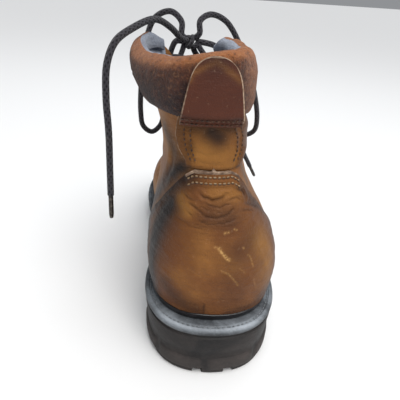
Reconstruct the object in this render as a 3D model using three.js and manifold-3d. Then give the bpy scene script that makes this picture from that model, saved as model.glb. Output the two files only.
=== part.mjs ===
// A worn six-inch lace-up work boot, right foot. Millimetres, +Z up, toe toward +Y, outer side toward +X.
// The upper is one smooth net drawn over the last; wall, overlays, collar and tongue are offsets of that net.
import * as THREE from 'three';
import { mergeVertices } from 'three/addons/utils/BufferGeometryUtils.js';
import Module from 'manifold-3d';

// ---- driving dimensions -------------------------------------------------------------------------------
const SOLE_LENGTH = 306;        // outer edge of the welt, heel to toe
const HEEL_WIDTH = 92;          // welt at the seat of the heel
const BALL_WIDTH = 110;         // welt at the joint of the toes
const HEEL_LEVEL = 37.6;        // top of the welt under the heel
const BALL_LEVEL = 22;          // top of the welt under the ball
const TOE_SPRING = 9;           // rise of the toe over the floor
const WELT_THICKNESS = 4.2;
const HEEL_BREAST = 82;         // front of the heel block, from the back
const WAIST_LIFT = 13;          // arch clearance above the floor
const LUG_DEPTH = 5;
const WALL = 2.2;               // leather and lining of the upper
const FIT = 0.3;                // clearance between neighbouring pieces
const OVERLAP = 0.5;            // clearance under the stitched-on pieces
const SLOT = 0.95;              // clearance of the padding from the wall that it wraps
const SHAFT_TOP = 190;          // top edge of the upper wall
const COLLAR_BASE = 166;
const COUNTER_TOP = 136;
const TAB_BASE = 166;
const TAB_TOP = 197;
const TAB_WIDTH = 31.6;
const TAB_CENTRE = -9.6;        // the shaft leans to the inner side
const TONGUE = 3.6;            // padded tongue
const LACE = 4.2;               // lace diameter
const EYELET_ROWS = 6;
const ARCH = 1.5;               // rise of a lace strand between the two edges of the throat

const COLOUR = {
  leather: 0x96602f, counter: 0x96602f, suede: 0x6b4530, tab: 0x744630, rubber: 0x2e2a29,
  welt: 0x5c646b, rand: 0x17151a, lace: 0x1d1c20, metal: 0x3c3a38, insole: 0x8b8f99, tongue: 0x8a5a30,
};

// ---- the net over the last ----------------------------------------------------------------------------
// Each row goes round the foot: back of heel, then eight stations down the outer side, the toe, and eight
// stations back along the inner side. Columns are [outer x, inner x, y, z], y measured from the heel; a
// fifth number is the inner side's own height.
const ROWS = [
  // feather line, where the upper meets the welt
  [[0, 0, 7.5, 38], [23, -23, 12, 38], [37, -37, 32, 38], [38, -37, 62, 38], [37, -30, 105, 34.5],
    [42, -30, 150, 27], [49, -43, 192, 22.4], [47, -46, 232, 23], [33, -37, 270, 26.5], [-5, -5, 295, 30.5]],
  // swell of the heel seat and the walls above the welt
  [[0, 0, 3, 57], [26, -26, 8, 57], [42, -42, 30, 57], [44, -43, 62, 57], [42, -35, 105, 54],
    [46, -34, 150, 48], [52, -47, 192, 42], [50, -50, 232, 42], [35, -40, 272, 44], [-5, -5, 300, 46]],
  // widest part of the heel, shoulders of the vamp
  [[0, 0, 2, 82], [24, -25, 7, 82], [40, -41, 30, 82], [41, -43, 62, 82], [38, -37, 102, 79],
    [39, -34, 146, 70], [44, -42, 188, 60], [43, -44, 228, 59], [30, -35, 266, 60], [-5, -5, 292, 62]],
  // hollow above the heel, instep and top of the toe box
  [[-3, -3, 9, 112], [13, -21, 13, 112], [20, -35, 34, 112], [23, -38, 62, 110], [24, -36, 94, 104],
    [27, -31, 134, 94], [33, -32, 178, 77], [31, -33, 216, 71], [20, -25, 248, 69], [-4, -4, 270, 70]],
  // ankle and the sides of the instep
  [[-7, -7, 15, 138], [7, -22, 19, 138], [10.5, -31, 38, 138], [9, -32, 62, 137], [10.5, -31, 88, 131],
    [13.5, -28, 118, 121], [21, -25, 160, 98], [19, -22, 200, 84], [11, -14, 226, 78], [-2, -2, 241, 76]],
  // shaft and the facings
  [[-10, -10, 16, 165], [7, -27, 20, 165], [10, -38, 40, 165], [9, -39.5, 64, 165], [9, -37, 87, 164],
    [8, -31, 108, 153], [15, -22, 142, 122], [14, -16, 181, 97], [8, -9, 205, 87], [-1, -1, 215, 84]],
  // top edge round the collar and down both sides of the throat
  [[-12, -12, 13, SHAFT_TOP + 3], [5, -31, 16, SHAFT_TOP + 5, SHAFT_TOP - 1],
    [8, -46, 38, SHAFT_TOP + 4, SHAFT_TOP - 3], [6, -53, 64, SHAFT_TOP + 4, SHAFT_TOP],
    [4, -50, 88, SHAFT_TOP + 4, SHAFT_TOP + 5], [-1, -33, 109, SHAFT_TOP - 1],
    [9, -18, 135, 147], [11, -12, 165, 113], [8, -8, 186, 98], [0, 0, 193, 94]],
];
const SIDE = ROWS[0].length - 1;
const STATIONS = SIDE * 2;

function netPoint(row, station) {
  const s = ((station % STATIONS) + STATIONS) % STATIONS;
  const inner = s > SIDE;
  const [outerX, innerX, y, outerZ, innerZ = outerZ] = ROWS[row][inner ? STATIONS - s : s];
  return inner ? new THREE.Vector3(innerX, y, innerZ) : new THREE.Vector3(outerX, y, outerZ);
}

// A row beyond either end mirrors its neighbour, so the surface reaches its first and last rows.
function netRow(row, station) {
  const top = ROWS.length - 1;
  if (row < 0) return netPoint(0, station).multiplyScalar(2).sub(netPoint(1, station));
  if (row > top) return netPoint(top, station).multiplyScalar(2).sub(netPoint(top - 1, station));
  return netPoint(row, station);
}

function basis(t) {
  const weights = [(1 - t) ** 3, 3 * t ** 3 - 6 * t * t + 4, 1 + 3 * t + 3 * t * t - 3 * t ** 3, t ** 3];
  return weights.map((weight) => weight / 6);
}

// Point of the last's surface: station s runs round the foot, height v runs from feather 0 to top edge 1.
function last(s, v) {
  const span = ROWS.length - 1;
  const row = Math.min(Math.max(Math.floor(v * span), 0), span - 1);
  const along = Math.floor(s);
  const rowWeights = basis(v * span - row);
  const stationWeights = basis(s - along);
  const point = new THREE.Vector3();
  rowWeights.forEach((rowWeight, i) => {
    stationWeights.forEach((stationWeight, j) => {
      point.addScaledVector(netRow(row + i - 1, along + j - 1), rowWeight * stationWeight);
    });
  });
  return point;
}

function outward(s, v) {
  const step = 0.02;
  const along = last(s + step, v).sub(last(s - step, v));
  const up = last(s, v + step / 4).sub(last(s, v - step / 4));
  return along.cross(up).normalize();
}

function offset(s, v, distance) {
  return last(s, v).addScaledVector(outward(s, v), distance);
}

// A point straight out from the wall, at the wall point's own level.
function beside(s, v, distance) {
  const level = outward(s, v).setZ(0).normalize();
  return last(s, v).addScaledVector(level, distance);
}

// Height parameter at which the column of station s reaches level z.
function reach(s, z) {
  let low = 0;
  let high = 1;
  for (let i = 0; i < 24; i += 1) {
    const middle = (low + high) / 2;
    if (last(s, middle).z < z) low = middle;
    else high = middle;
  }
  return low;
}

// Height parameter at which the column stands a given lift above the welt.
function seat(s, lift) {
  let low = -0.2;
  let high = 0.4;
  for (let i = 0; i < 24; i += 1) {
    const middle = (low + high) / 2;
    const point = last(s, middle);
    if (point.z < weltLevel(point.y) + lift) low = middle;
    else high = middle;
  }
  return low;
}

// ---- solids from grids of points ----------------------------------------------------------------------
// Sweeps closed sections (arrays of points, same count) into one solid; a ring joins its last to its first.
function skin(sections, ring, paired = false) {
  const size = sections[0].length;
  const positions = [];
  const indices = [];
  sections.forEach((section) => section.forEach((p) => positions.push(p.x, p.y, p.z)));
  const count = ring ? sections.length : sections.length - 1;
  for (let i = 0; i < count; i += 1) {
    const a = i * size;
    const b = ((i + 1) % sections.length) * size;
    for (let j = 0; j < size; j += 1) {
      const k = (j + 1) % size;
      indices.push(a + j, b + j, b + k, a + j, b + k, a + k);
    }
  }
  if (!ring) {
    [0, sections.length - 1].forEach((i) => {
      const flat = paired ? stripTriangles(size) : capTriangles(sections[i]);
      const base = i * size;
      flat.forEach(([p, q, r]) => {
        if (i === 0) indices.push(base + p, base + q, base + r);
        else indices.push(base + p, base + r, base + q);
      });
    });
  }
  return orient(geometryFrom(positions, indices));
}

// Triangles between the two rows of a section that runs out along one row and back along the other.
function stripTriangles(size) {
  return range(0, size / 2 - 2, size / 2 - 2).flatMap((j) => [
    [j, j + 1, size - 1 - j], [j + 1, size - 2 - j, size - 1 - j],
  ]);
}

// Triangles that close a section, found in its own plane.
function capTriangles(section) {
  const normal = new THREE.Vector3();
  section.forEach((p, i) => {
    const q = section[(i + 1) % section.length];
    normal.add(new THREE.Vector3().crossVectors(p, q));
  });
  normal.normalize();
  const axisX = section[1].clone().sub(section[0]);
  axisX.addScaledVector(normal, -axisX.dot(normal)).normalize();
  const axisY = new THREE.Vector3().crossVectors(normal, axisX);
  const flat = section.map((p) => new THREE.Vector2(p.dot(axisX), p.dot(axisY)));
  return THREE.ShapeUtils.triangulateShape(flat, []);
}

function geometryFrom(positions, indices) {
  const geometry = new THREE.BufferGeometry();
  geometry.setAttribute('position', new THREE.Float32BufferAttribute(positions, 3));
  geometry.setIndex(indices);
  return geometry;
}

function volume(geometry) {
  const p = geometry.attributes.position;
  const index = geometry.index;
  const corners = [new THREE.Vector3(), new THREE.Vector3(), new THREE.Vector3()];
  let sum = 0;
  for (let i = 0; i < index.count; i += 3) {
    corners.forEach((corner, j) => corner.fromBufferAttribute(p, index.getX(i + j)));
    sum += corners[0].dot(corners[1].clone().cross(corners[2])) / 6;
  }
  return sum;
}

function orient(geometry) {
  if (volume(geometry) >= 0) return geometry;
  const index = Array.from(geometry.index.array);
  for (let i = 0; i < index.length; i += 3) {
    [index[i + 1], index[i + 2]] = [index[i + 2], index[i + 1]];
  }
  geometry.setIndex(index);
  return geometry;
}

function range(from, to, count) {
  return Array.from({ length: count + 1 }, (_, i) => from + ((to - from) * i) / count);
}

// A patch of wall between two offsets of the last; limits(s) gives its lowest and highest v.
function wallPatch(stations, limits, steps, insideAt, outsideAt, ring = false, place = offset) {
  const sections = stations.map((s) => {
    const [low, high] = limits(s);
    const heights = range(low, high, steps);
    const out = heights.map((v) => place(s, v, outsideAt(s, v)));
    const back = heights.map((v) => place(s, v, insideAt(s, v))).reverse();
    return [...out, ...back];
  });
  return skin(sections, ring, true);
}

// ---- joining and cutting ------------------------------------------------------------------------------
const wasm = await Module();
wasm.setup();

function solidOf(geometry) {
  const plain = geometry.clone();
  plain.deleteAttribute('normal');
  plain.deleteAttribute('uv');
  const merged = mergeVertices(plain, 1e-4);
  return new wasm.Manifold(new wasm.Mesh({
    numProp: 3,
    vertProperties: new Float32Array(merged.attributes.position.array),
    triVerts: new Uint32Array(merged.index.array),
  }));
}

function geometryOf(solid) {
  const mesh = solid.getMesh();
  return geometryFrom(Array.from(mesh.vertProperties), Array.from(mesh.triVerts));
}

function tube(points, radius, sides, steps) {
  const path = new THREE.CatmullRomCurve3(points, false, 'centripetal');
  const shape = new THREE.Shape(range(0, 1, sides).slice(0, sides).map((t) => (
    new THREE.Vector2(radius * Math.cos(2 * Math.PI * t), radius * Math.sin(2 * Math.PI * t)))));
  return new THREE.ExtrudeGeometry(shape, { extrudePath: path, steps });
}

// ---- sole ---------------------------------------------------------------------------------------------
function smooth(from, to, value) {
  const t = Math.min(Math.max((value - from) / (to - from), 0), 1);
  return t * t * (3 - 2 * t);
}

// Top of the welt along the boot: level under the heel, down to the ball, up at the toe.
function weltLevel(y) {
  const drop = (HEEL_LEVEL - BALL_LEVEL) * smooth(64, 196, y);
  return HEEL_LEVEL - drop + TOE_SPRING * smooth(215, 330, y) * 1.25;
}

// Underside of the tread, before the lugs are cut.
function treadLevel(y) {
  const waist = WAIST_LIFT * smooth(HEEL_BREAST, HEEL_BREAST + 8, y) * (1 - smooth(118, 148, y));
  return waist + TOE_SPRING * smooth(232, 312, y) * 1.1;
}

// Outline of the welt: a half round heel, narrower waist on the inner side, oblique toe.
const OUTLINE = [
  // outer x, inner x, y
  [0, 0, -6], [29.5, -30, 1.5], [HEEL_WIDTH / 2 - 1, 1 - HEEL_WIDTH / 2, 28],
  [HEEL_WIDTH / 2 + 1, -HEEL_WIDTH / 2, 62], [HEEL_WIDTH / 2 - 1, -37, 105], [49, -36, 150],
  [BALL_WIDTH / 2 + 2, -49.5, 192], [BALL_WIDTH / 2, 1 - BALL_WIDTH / 2, 232],
  [41, -46.5, 277], [-5, -5, SOLE_LENGTH + 4],
];

function outline(s) {
  const along = Math.floor(s);
  const point = new THREE.Vector2();
  basis(s - along).forEach((weight, j) => {
    const k = (((along + j - 1) % STATIONS) + STATIONS) % STATIONS;
    const inner = k > SIDE;
    const [outerX, innerX, y] = OUTLINE[inner ? STATIONS - k : k];
    point.add(new THREE.Vector2(inner ? innerX : outerX, y).multiplyScalar(weight));
  });
  return point;
}

function inset(s, distance) {
  const ahead = outline(s + 0.01).sub(outline(s - 0.01)).normalize();
  return outline(s).add(new THREE.Vector2(-ahead.y, ahead.x).multiplyScalar(distance));
}

// A solid under an outline: rings of [inset, level(y)] from the top centre round the rim to the bottom.
function plate(rings, perStation) {
  const stations = range(0, STATIONS, STATIONS * perStation).slice(0, -1);
  const loops = rings.map(([distance, level]) => stations.map((s) => {
    const p = inset(s, distance);
    return new THREE.Vector3(p.x, p.y, level(p.y));
  }));
  return closeLoops(loops);
}

// Joins stacked loops into a skin and closes the first and last with rungs from side to side.
function closeLoops(loops) {
  const size = loops[0].length;
  const positions = [];
  const indices = [];
  loops.forEach((loop) => loop.forEach((p) => positions.push(p.x, p.y, p.z)));
  for (let i = 0; i + 1 < loops.length; i += 1) {
    for (let j = 0; j < size; j += 1) {
      const k = (j + 1) % size;
      const a = i * size;
      const b = a + size;
      indices.push(a + j, b + j, b + k, a + j, b + k, a + k);
    }
  }
  [0, loops.length - 1].forEach((i) => {
    const a = i * size;
    const rung = (p, q, r) => (i === 0 ? indices.push(a + p, a + q, a + r) : indices.push(a + p, a + r, a + q));
    rung(0, 1, size - 1);
    for (let j = 1; j + 1 < size / 2; j += 1) {
      rung(j, j + 1, size - j);
      rung(j + 1, size - j - 1, size - j);
    }
    rung(size / 2 - 1, size / 2, size / 2 + 1);
  });
  return orient(geometryFrom(positions, indices));
}

function welt() {
  const top = (y) => weltLevel(y);
  const under = (y) => weltLevel(y) - WELT_THICKNESS;
  const upperEdge = (y) => top(y) - 1;
  const lowerEdge = (y) => under(y) + 1;
  return plate([[3, top], [0.8, top], [0, upperEdge], [0, lowerEdge], [0.8, under], [3, under]], 4);
}

function outsole() {
  const top = (y) => weltLevel(y) - WELT_THICKNESS - FIT;
  const middle = (y) => top(y) * 0.55 + treadLevel(y) * 0.45;
  const edge = (y) => treadLevel(y) + 1.2;
  const blank = plate([
    [1.6, top], [1.6, (y) => top(y) - 2], [1.1, (y) => top(y) - 5], [1.9, middle], [3.1, edge],
    [4.3, treadLevel],
  ], 4);
  return geometryOf(lugCuts().reduce((solid, cut) => solid.subtract(solidOf(cut)), solidOf(blank)));
}

// Channels of the tread: across the forefoot and heel, with notches that show at the rim.
function lugCuts() {
  const cuts = [];
  const slot = (x, y, width, length, turn, depth) => {
    const box = new THREE.BoxGeometry(length, width, depth * 2);
    box.rotateZ(turn);
    box.translate(x, y, treadLevel(y));
    cuts.push(box);
  };
  [24, 46, 66].forEach((y) => {
    slot(34, y, 6, 30, y < 30 ? -0.6 : 0, LUG_DEPTH);
    slot(-34, y, 6, 30, y < 30 ? 0.6 : 0, LUG_DEPTH);
  });
  slot(-9, 2, 6, 24, Math.PI / 2 + 0.2, LUG_DEPTH);
  slot(12, 2, 6, 24, Math.PI / 2 - 0.2, LUG_DEPTH);
  slot(0, 40, 30, 26, 0, LUG_DEPTH - 1);
  [164, 184, 204, 224, 244, 263].forEach((y) => {
    slot(44, y, 6, 34, 0.18, LUG_DEPTH);
    slot(-44, y, 6, 34, -0.18, LUG_DEPTH);
  });
  [174, 196, 218, 240, 262].forEach((y) => slot(1, y, 5, 34, 0, LUG_DEPTH - 1));
  slot(-22, 290, 6, 30, Math.PI / 2 + 0.3, LUG_DEPTH);
  slot(10, 290, 6, 30, Math.PI / 2 - 0.35, LUG_DEPTH);
  return cuts;
}

function insole() {
  const clear = WALL + 1;
  const stations = range(0, STATIONS, STATIONS * 3).slice(0, -1);
  const loop = (distance, lift) => stations.map((s) => {
    const p = beside(s, seat(s, 2), -clear - distance);
    return new THREE.Vector3(p.x, p.y, weltLevel(p.y) + lift);
  });
  return closeLoops([loop(1, 4.4), loop(0, 3.6), loop(0, 1.4), loop(1, FIT + 0.1)]);
}

// ---- upper and its overlays ---------------------------------------------------------------------------
const RAND_TOP = 5.6;           // height of the rand above the welt
const RAND = 2.4;               // its outer face, from the wall

function upper() {
  const stations = range(0, STATIONS, STATIONS * 4).slice(0, -1);
  const geometry = wallPatch(stations, (s) => [seat(s, FIT), 1], 8, () => -WALL, () => 0, true);
  const holes = eyeletPlaces().map((place) => {
    const hole = new THREE.CylinderGeometry(2.3, 2.3, 12, 6);
    hole.applyQuaternion(place.turn);
    hole.translate(...place.at.toArray());
    return solidOf(hole);
  });
  return geometryOf(holes.reduce((solid, hole) => solid.subtract(hole), solidOf(geometry)));
}

function rand() {
  const stations = range(0, STATIONS, STATIONS * 4).slice(0, -1);
  return wallPatch(stations, (s) => [seat(s, FIT + 0.2), seat(s, RAND_TOP)], 2, () => FIT, () => RAND, true,
    beside);
}

// Half width in stations and top line of the heel counter: level at the back, falling forward on the sides.
const COUNTER_REACH = 4.25;
const COUNTER_END = 58;         // level of its forward ends
const COUNTER_FACE = 2.1;       // its outer face, from the wall

function counterTop(s) {
  const side = Math.abs(s);
  const fall = smooth(0.62, COUNTER_REACH, side);
  const slope = Math.min(1, Math.max(0, side - 0.62) / 3);
  return reach(s, COUNTER_TOP - (COUNTER_TOP - COUNTER_END) * (0.35 * slope + 0.65 * fall));
}

function counter() {
  const base = (s) => seat(s, RAND_TOP + 0.9);
  const stations = range(-COUNTER_REACH, COUNTER_REACH, COUNTER_REACH * 8);
  return wallPatch(stations, (s) => [base(s), counterTop(s)], 6, () => OVERLAP, () => COUNTER_FACE);
}

function backstay() {
  const half = 0.875;
  return wallPatch(range(-half, half, 14), (s) => [counterTop(s) + 0.006, reach(s, COLLAR_BASE) - 0.004],
    3, () => OVERLAP, () => 1.9);
}

// Padded collar: a soft roll outside the wall, over its top edge and a little way down inside.
function collar() {
  const front = 4.5;
  const section = [
    // [distance from the wall, share of the way from collar base to edge, rise over the edge]
    [SLOT, 0.01, 0], [3.6, 0, 0], [5.6, 0.1, 0], [7, 0.35, 0], [7.2, 0.65, 0], [6.2, 0.9, 0], [3.4, 1, 3.4],
    [-1, 1, 4.6], [-4.6, 1, 3], [-5.2, 0.97, 0], [-4.8, 0.85, 0], [-WALL - SLOT, 0.8, 0],
    [-WALL - SLOT, 1, SLOT], [SLOT, 1, SLOT],
  ];
  const sections = range(-front, front, 36).map((s) => {
    const base = reach(s, COLLAR_BASE);
    const ends = 1 - 0.55 * smooth(front - 0.9, front, Math.abs(s));
    return section.map(([distance, share, rise]) => {
      const soft = distance > SLOT ? SLOT + (distance - SLOT) * ends : distance;
      const p = offset(s, base + (1 - base) * share, soft);
      p.z += rise > SLOT ? SLOT + (rise - SLOT) * ends : rise;
      return p;
    });
  });
  return skin(sections, false);
}

function pullTab() {
  const rows = range(0, 1, 9).map((step) => {
    const t = 1 - (1 - step) ** 1.6;
    const half = (TAB_WIDTH / 2 - 5 * t) * Math.sqrt(Math.max(0.04, 1 - t ** 8));
    return { level: TAB_BASE + t * (TAB_TOP - TAB_BASE), half, centre: TAB_CENTRE };
  });
  const face = (row, x, lift) => {
    const s = (x - row.centre) / 24;
    const level = Math.min(row.level, SHAFT_TOP - 2);
    const p = offset(s, reach(s, level), 8.9 - 2 * smooth(178, 194, row.level) + lift);
    return new THREE.Vector3(x, p.y, row.level);
  };
  const sections = rows.map((row) => {
    const across = range(-1, 1, 6);
    const out = across.map((a) => face(row, row.centre + a * row.half, 2));
    const back = across.map((a) => face(row, row.centre + a * row.half, 0)).reverse();
    return [...out, ...back];
  });
  return skin(sections, false, true);
}

// ---- throat: tongue, eyelets and laces ----------------------------------------------------------------
const THROAT_TOP = 5.05;
const THROAT_BASE = 8.05;

// Station on the outer side for share b of the throat, 0 at the base and 1 at the top; inner side mirrors.
function throat(b) {
  return THROAT_BASE + (THROAT_TOP - THROAT_BASE) * b;
}

function tongueSection(b) {
  const share = Math.min(Math.max(b, 0), 1);
  const outer = throat(share);
  const inner = STATIONS - outer;
  const under = -WALL - 2.6 - 2.4 * (1 - share) - 2.2 * smooth(0.8, 1, share);
  const tuck = 0.05 + 0.07 * (1 - share);
  const points = [
    offset(inner, 1 - tuck * 1.6, under), offset(inner, 1 - tuck * 0.5, under), null,
    offset(outer, 1 - tuck * 0.5, under), offset(outer, 1 - tuck * 1.6, under),
  ];
  points[2] = points[1].clone().add(points[3]).multiplyScalar(0.5);
  const face = outward(outer, 0.98).add(outward(inner, 0.98)).normalize();
  points[2].addScaledVector(face, 1.6);
  const rise = Math.max(b - 1, 0) * 100;
  const dip = Math.max(-b, 0) * 100;
  points.forEach((p) => p.add(new THREE.Vector3(0, dip - 0.12 * rise, rise - 0.75 * dip)));
  return { curve: new THREE.CatmullRomCurve3(points), face };
}

function tongue() {
  const sections = range(-0.14, 1.04, 15).map((b) => {
    const { curve, face } = tongueSection(b);
    const ahead = tongueSection(b + 0.05).curve.getPoint(0.5);
    const axis = ahead.sub(tongueSection(b - 0.05).curve.getPoint(0.5)).normalize();
    const across = curve.getPoints(8);
    const square = (t) => curve.getTangent(t).cross(axis).normalize();
    const under = square(0.5).dot(face) > 0 ? -TONGUE : TONGUE;
    const back = across.map((p, i) => p.clone().addScaledVector(square(i / 8), under));
    return [...across, ...back.reverse()];
  });
  return skin(sections, false, true);
}

// Where each eyelet sits: near the throat edge, evenly down the facing, square to the leather.
function eyeletPlaces() {
  const places = [];
  range(0, 1, EYELET_ROWS - 1).forEach((t) => {
    [1, -1].forEach((side) => {
      const outer = 5.32 + 2.75 * t;
      const s = side > 0 ? outer : STATIONS - outer;
      const edge = last(s, 1);
      const along = last(s + 0.05, 1).sub(last(s - 0.05, 1)).normalize();
      const inward = outward(s, 0.98).cross(along).normalize().multiplyScalar(-11);
      const aim = edge.clone().add(inward.z > 0 ? inward.negate() : inward);
      places.push(nearest(aim, s, side));
    });
  });
  return places;
}

// Point of the surface nearest to an aim, by walking down the distance.
function nearest(aim, startS, side) {
  let best = { s: startS, v: 0.9, gap: Infinity };
  [0.1, 0.02, 0.004].forEach((step) => {
    const centre = { ...best };
    range(-8, 8, 16).forEach((i) => range(-8, 8, 16).forEach((j) => {
      const s = centre.s + i * step;
      const v = Math.min(1, Math.max(0.4, centre.v + j * step * 0.4));
      const gap = last(s, v).distanceTo(aim);
      if (gap < best.gap) best = { s, v, gap };
    }));
  });
  const normal = outward(best.s, best.v);
  const turn = new THREE.Quaternion().setFromUnitVectors(new THREE.Vector3(0, 1, 0), normal);
  const mirrored = side > 0 ? best.s : STATIONS - best.s;
  return { at: last(best.s, best.v), normal, turn, side, s: best.s, mirrored };
}

function eyelet(place) {
  const profile = [[2.3, SLOT], [4.1, SLOT], [4.1, 1.1], [3.4, 1.6], [2.3, 1.6], [2.3, SLOT]];
  const ring = new THREE.LatheGeometry(profile.map(([r, h]) => new THREE.Vector2(r, h)), 8);
  ring.applyQuaternion(place.turn);
  ring.translate(...place.at.toArray());
  return ring;
}

// Laces cross from each eyelet to the next one up on the other side, with a bar at the top and the bottom.
function laceCrossings(places) {
  const clear = LACE / 2 + 4.8;
  const top = (place) => place.at.clone().addScaledVector(place.normal, 1.9 + SLOT + LACE / 2);
  const acrossEdge = (from, to) => {
    const mirrored = from.mirrored + (to.mirrored - from.mirrored) * 0.3;
    const s = from.side > 0 ? mirrored : STATIONS - mirrored;
    return offset(s, 1, clear);
  };
  const strand = (a, b) => {
    const over = [acrossEdge(a, b), acrossEdge(b, a)];
    const face = a.normal.clone().add(b.normal).normalize();
    const middle = over[0].clone().add(over[1]).multiplyScalar(0.5).addScaledVector(face, ARCH);
    return solidOf(tube([top(a), over[0], middle, over[1], top(b)], LACE / 2, 8, 6));
  };
  let joined = strand(...places.slice(-2)).add(strand(...places.slice(0, 2)));
  for (let row = 0; row + 1 < EYELET_ROWS; row += 1) {
    const [outerTop, innerTop, outerBase, innerBase] = places.slice(2 * row, 2 * row + 4);
    joined = joined.add(strand(outerTop, innerBase)).add(strand(innerTop, outerBase));
  }
  return geometryOf(joined);
}

// Free lace: a bow whose loops fall to either side of the instep, and two ends.
const BOW_OUTER = [
  [-12, 124, 196], [-12, 127, 204], [-4, 133, 208.5], [8, 137, 204], [21, 139, 186],
  [33, 142, 160], [41, 147, 132], [41, 153, 118], [34, 157, 113], [27, 157, 119],
  [25, 151, 141], [16, 141, 168], [3, 132, 186], [-9, 126, 190],
];
const BOW_INNER = [
  [-24.5, 123, 194.5], [-25, 126, 203], [-33, 131, 209], [-44, 135, 204], [-51, 138, 186],
  [-54, 141, 160], [-55, 146, 132], [-53, 152, 118], [-46, 156, 112.5], [-39, 156, 119],
  [-36, 151, 140], [-34, 141, 168], [-31, 131, 185], [-28, 127, 190],
];
const END_OUTER = [
  [-14, 131, 182], [-6, 142, 172], [7, 156, 151], [17, 166, 130], [29, 176, 108],
  [39, 184, 88], [49, 193, 70],
];
const END_INNER = [
  [-25, 116, 193], [-32, 106, 200], [-42, 88, 206], [-54, 68, 202], [-63, 54, 195],
  [-67, 49, 184], [-68, 48, 166], [-67, 47, 145], [-67, 47, 122], [-67, 47, 104],
];
const KNOT = [-18, 125.5, 190];
const AGLET = 16;               // length of a lace tip

function vectors(points) {
  return points.map((p) => new THREE.Vector3(...p));
}

function knot() {
  const ball = new THREE.SphereGeometry(6.4, 12, 8);
  ball.scale(1.15, 0.85, 0.8);
  ball.rotateX(0.9);
  ball.translate(...KNOT);
  return ball;
}

function aglet(points) {
  const [before, tip] = vectors(points).slice(-2);
  const along = tip.clone().sub(before).normalize();
  const tube = new THREE.CylinderGeometry(1.5, 1.5, AGLET, 10);
  tube.applyQuaternion(new THREE.Quaternion().setFromUnitVectors(new THREE.Vector3(0, 1, 0), along));
  tube.translate(...tip.addScaledVector(along, AGLET / 2 + FIT).toArray());
  return tube;
}

// ---- assembly -----------------------------------------------------------------------------------------
const boot = new THREE.Group();

function piece(name, geometry, colour, roughness = 0.7, metalness = 0) {
  const material = new THREE.MeshStandardMaterial({ color: colour, roughness, metalness });
  const mesh = new THREE.Mesh(geometry, material);
  mesh.name = name;
  boot.add(mesh);
}

piece('outsole', outsole(), COLOUR.rubber, 0.8);
piece('welt', welt(), COLOUR.welt, 0.8);
piece('rand', rand(), COLOUR.rand, 0.3);
piece('insole', insole(), COLOUR.insole, 0.95);
piece('upper', upper(), COLOUR.leather, 0.55);
piece('heel_counter', counter(), COLOUR.counter, 0.5);
piece('backstay', backstay(), COLOUR.leather, 0.5);
piece('collar', collar(), COLOUR.suede, 0.95);
piece('pull_tab', pullTab(), COLOUR.tab, 0.5);
piece('tongue', tongue(), COLOUR.tongue, 0.7);
const places = eyeletPlaces();
places.forEach((place, i) => {
  const name = `eyelet_${place.side > 0 ? 'outer' : 'inner'}_${Math.floor(i / 2) + 1}`;
  piece(name, eyelet(place), COLOUR.metal, 0.35, 0.9);
});
piece('lace_crossings', laceCrossings(places), COLOUR.lace, 0.9);

// The origin is on the floor under the middle of the boot, free laces left aside.
const middle = new THREE.Box3().setFromObject(boot).getCenter(new THREE.Vector3());
boot.position.set(-middle.x, -middle.y, 0);

piece('lace_knot', knot(), COLOUR.lace, 0.9);
piece('bow_loop_outer', tube(vectors(BOW_OUTER), LACE / 2, 8, 32), COLOUR.lace, 0.9);
piece('bow_loop_inner', tube(vectors(BOW_INNER), LACE / 2, 8, 32), COLOUR.lace, 0.9);
piece('lace_end_outer', tube(vectors(END_OUTER), LACE / 2, 8, 14), COLOUR.lace, 0.9);
piece('lace_end_inner', tube(vectors(END_INNER), LACE / 2, 8, 22), COLOUR.lace, 0.9);
piece('aglet_outer', aglet(END_OUTER), COLOUR.metal, 0.4);
piece('aglet_inner', aglet(END_INNER), COLOUR.metal, 0.4);

export default boot;
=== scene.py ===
"""A worn six-inch lace-up work boot, right foot, built round its construction frame."""

import math

import bmesh
import bpy
import numpy as np
from mathutils import Matrix, Vector


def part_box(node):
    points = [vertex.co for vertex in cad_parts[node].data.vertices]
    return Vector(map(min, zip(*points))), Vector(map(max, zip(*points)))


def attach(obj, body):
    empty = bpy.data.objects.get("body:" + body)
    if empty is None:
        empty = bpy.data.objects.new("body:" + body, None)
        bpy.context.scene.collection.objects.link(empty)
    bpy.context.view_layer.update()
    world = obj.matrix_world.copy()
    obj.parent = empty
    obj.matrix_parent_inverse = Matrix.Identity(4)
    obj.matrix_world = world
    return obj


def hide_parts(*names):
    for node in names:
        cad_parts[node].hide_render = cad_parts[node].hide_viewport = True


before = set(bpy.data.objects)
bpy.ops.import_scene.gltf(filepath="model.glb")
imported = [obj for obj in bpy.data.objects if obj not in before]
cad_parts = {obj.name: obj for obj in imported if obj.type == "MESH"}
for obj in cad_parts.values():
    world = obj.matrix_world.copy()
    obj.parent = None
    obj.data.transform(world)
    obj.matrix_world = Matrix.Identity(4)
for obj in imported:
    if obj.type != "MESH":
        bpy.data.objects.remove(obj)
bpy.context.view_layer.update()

bl_info = {
    "name": "Worn work boot",
    "version": (1, 0, 0),
    "blender": (4, 5, 0),
    "location": "View3D > Sidebar > Boot",
    "description": "Builds the leather, padding, sole, seams and laces of a worn work boot",
    "category": "Add Mesh",
}

# ---- The last: one net of points in millimetres, y measured from the back of the heel ----
# Columns of a row: [outer x, inner x, y, z] from the back of the heel to the toe; a fifth number is the
# inner side's own height.
SHAFT_TOP = 190
COLLAR_BASE = 166
COUNTER_TOP = 136
TAB_BASE = 166
TAB_TOP = 197
TAB_WIDTH = 31.6
TAB_CENTRE = -9.6
HEEL_LEVEL = 37.6
BALL_LEVEL = 22
TOE_SPRING = 9
WELT_THICKNESS = 4.2
HEEL_BREAST = 82
WAIST_LIFT = 13
WALL = 2.2
RAND_TOP = 5.6
LACE = 4.2
TONGUE = 3.6
EYELET_ROWS = 6
EYELET_INSET = 11
SKIN_HEIGHT = 160    # height share 1 is about this far up the skin
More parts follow.
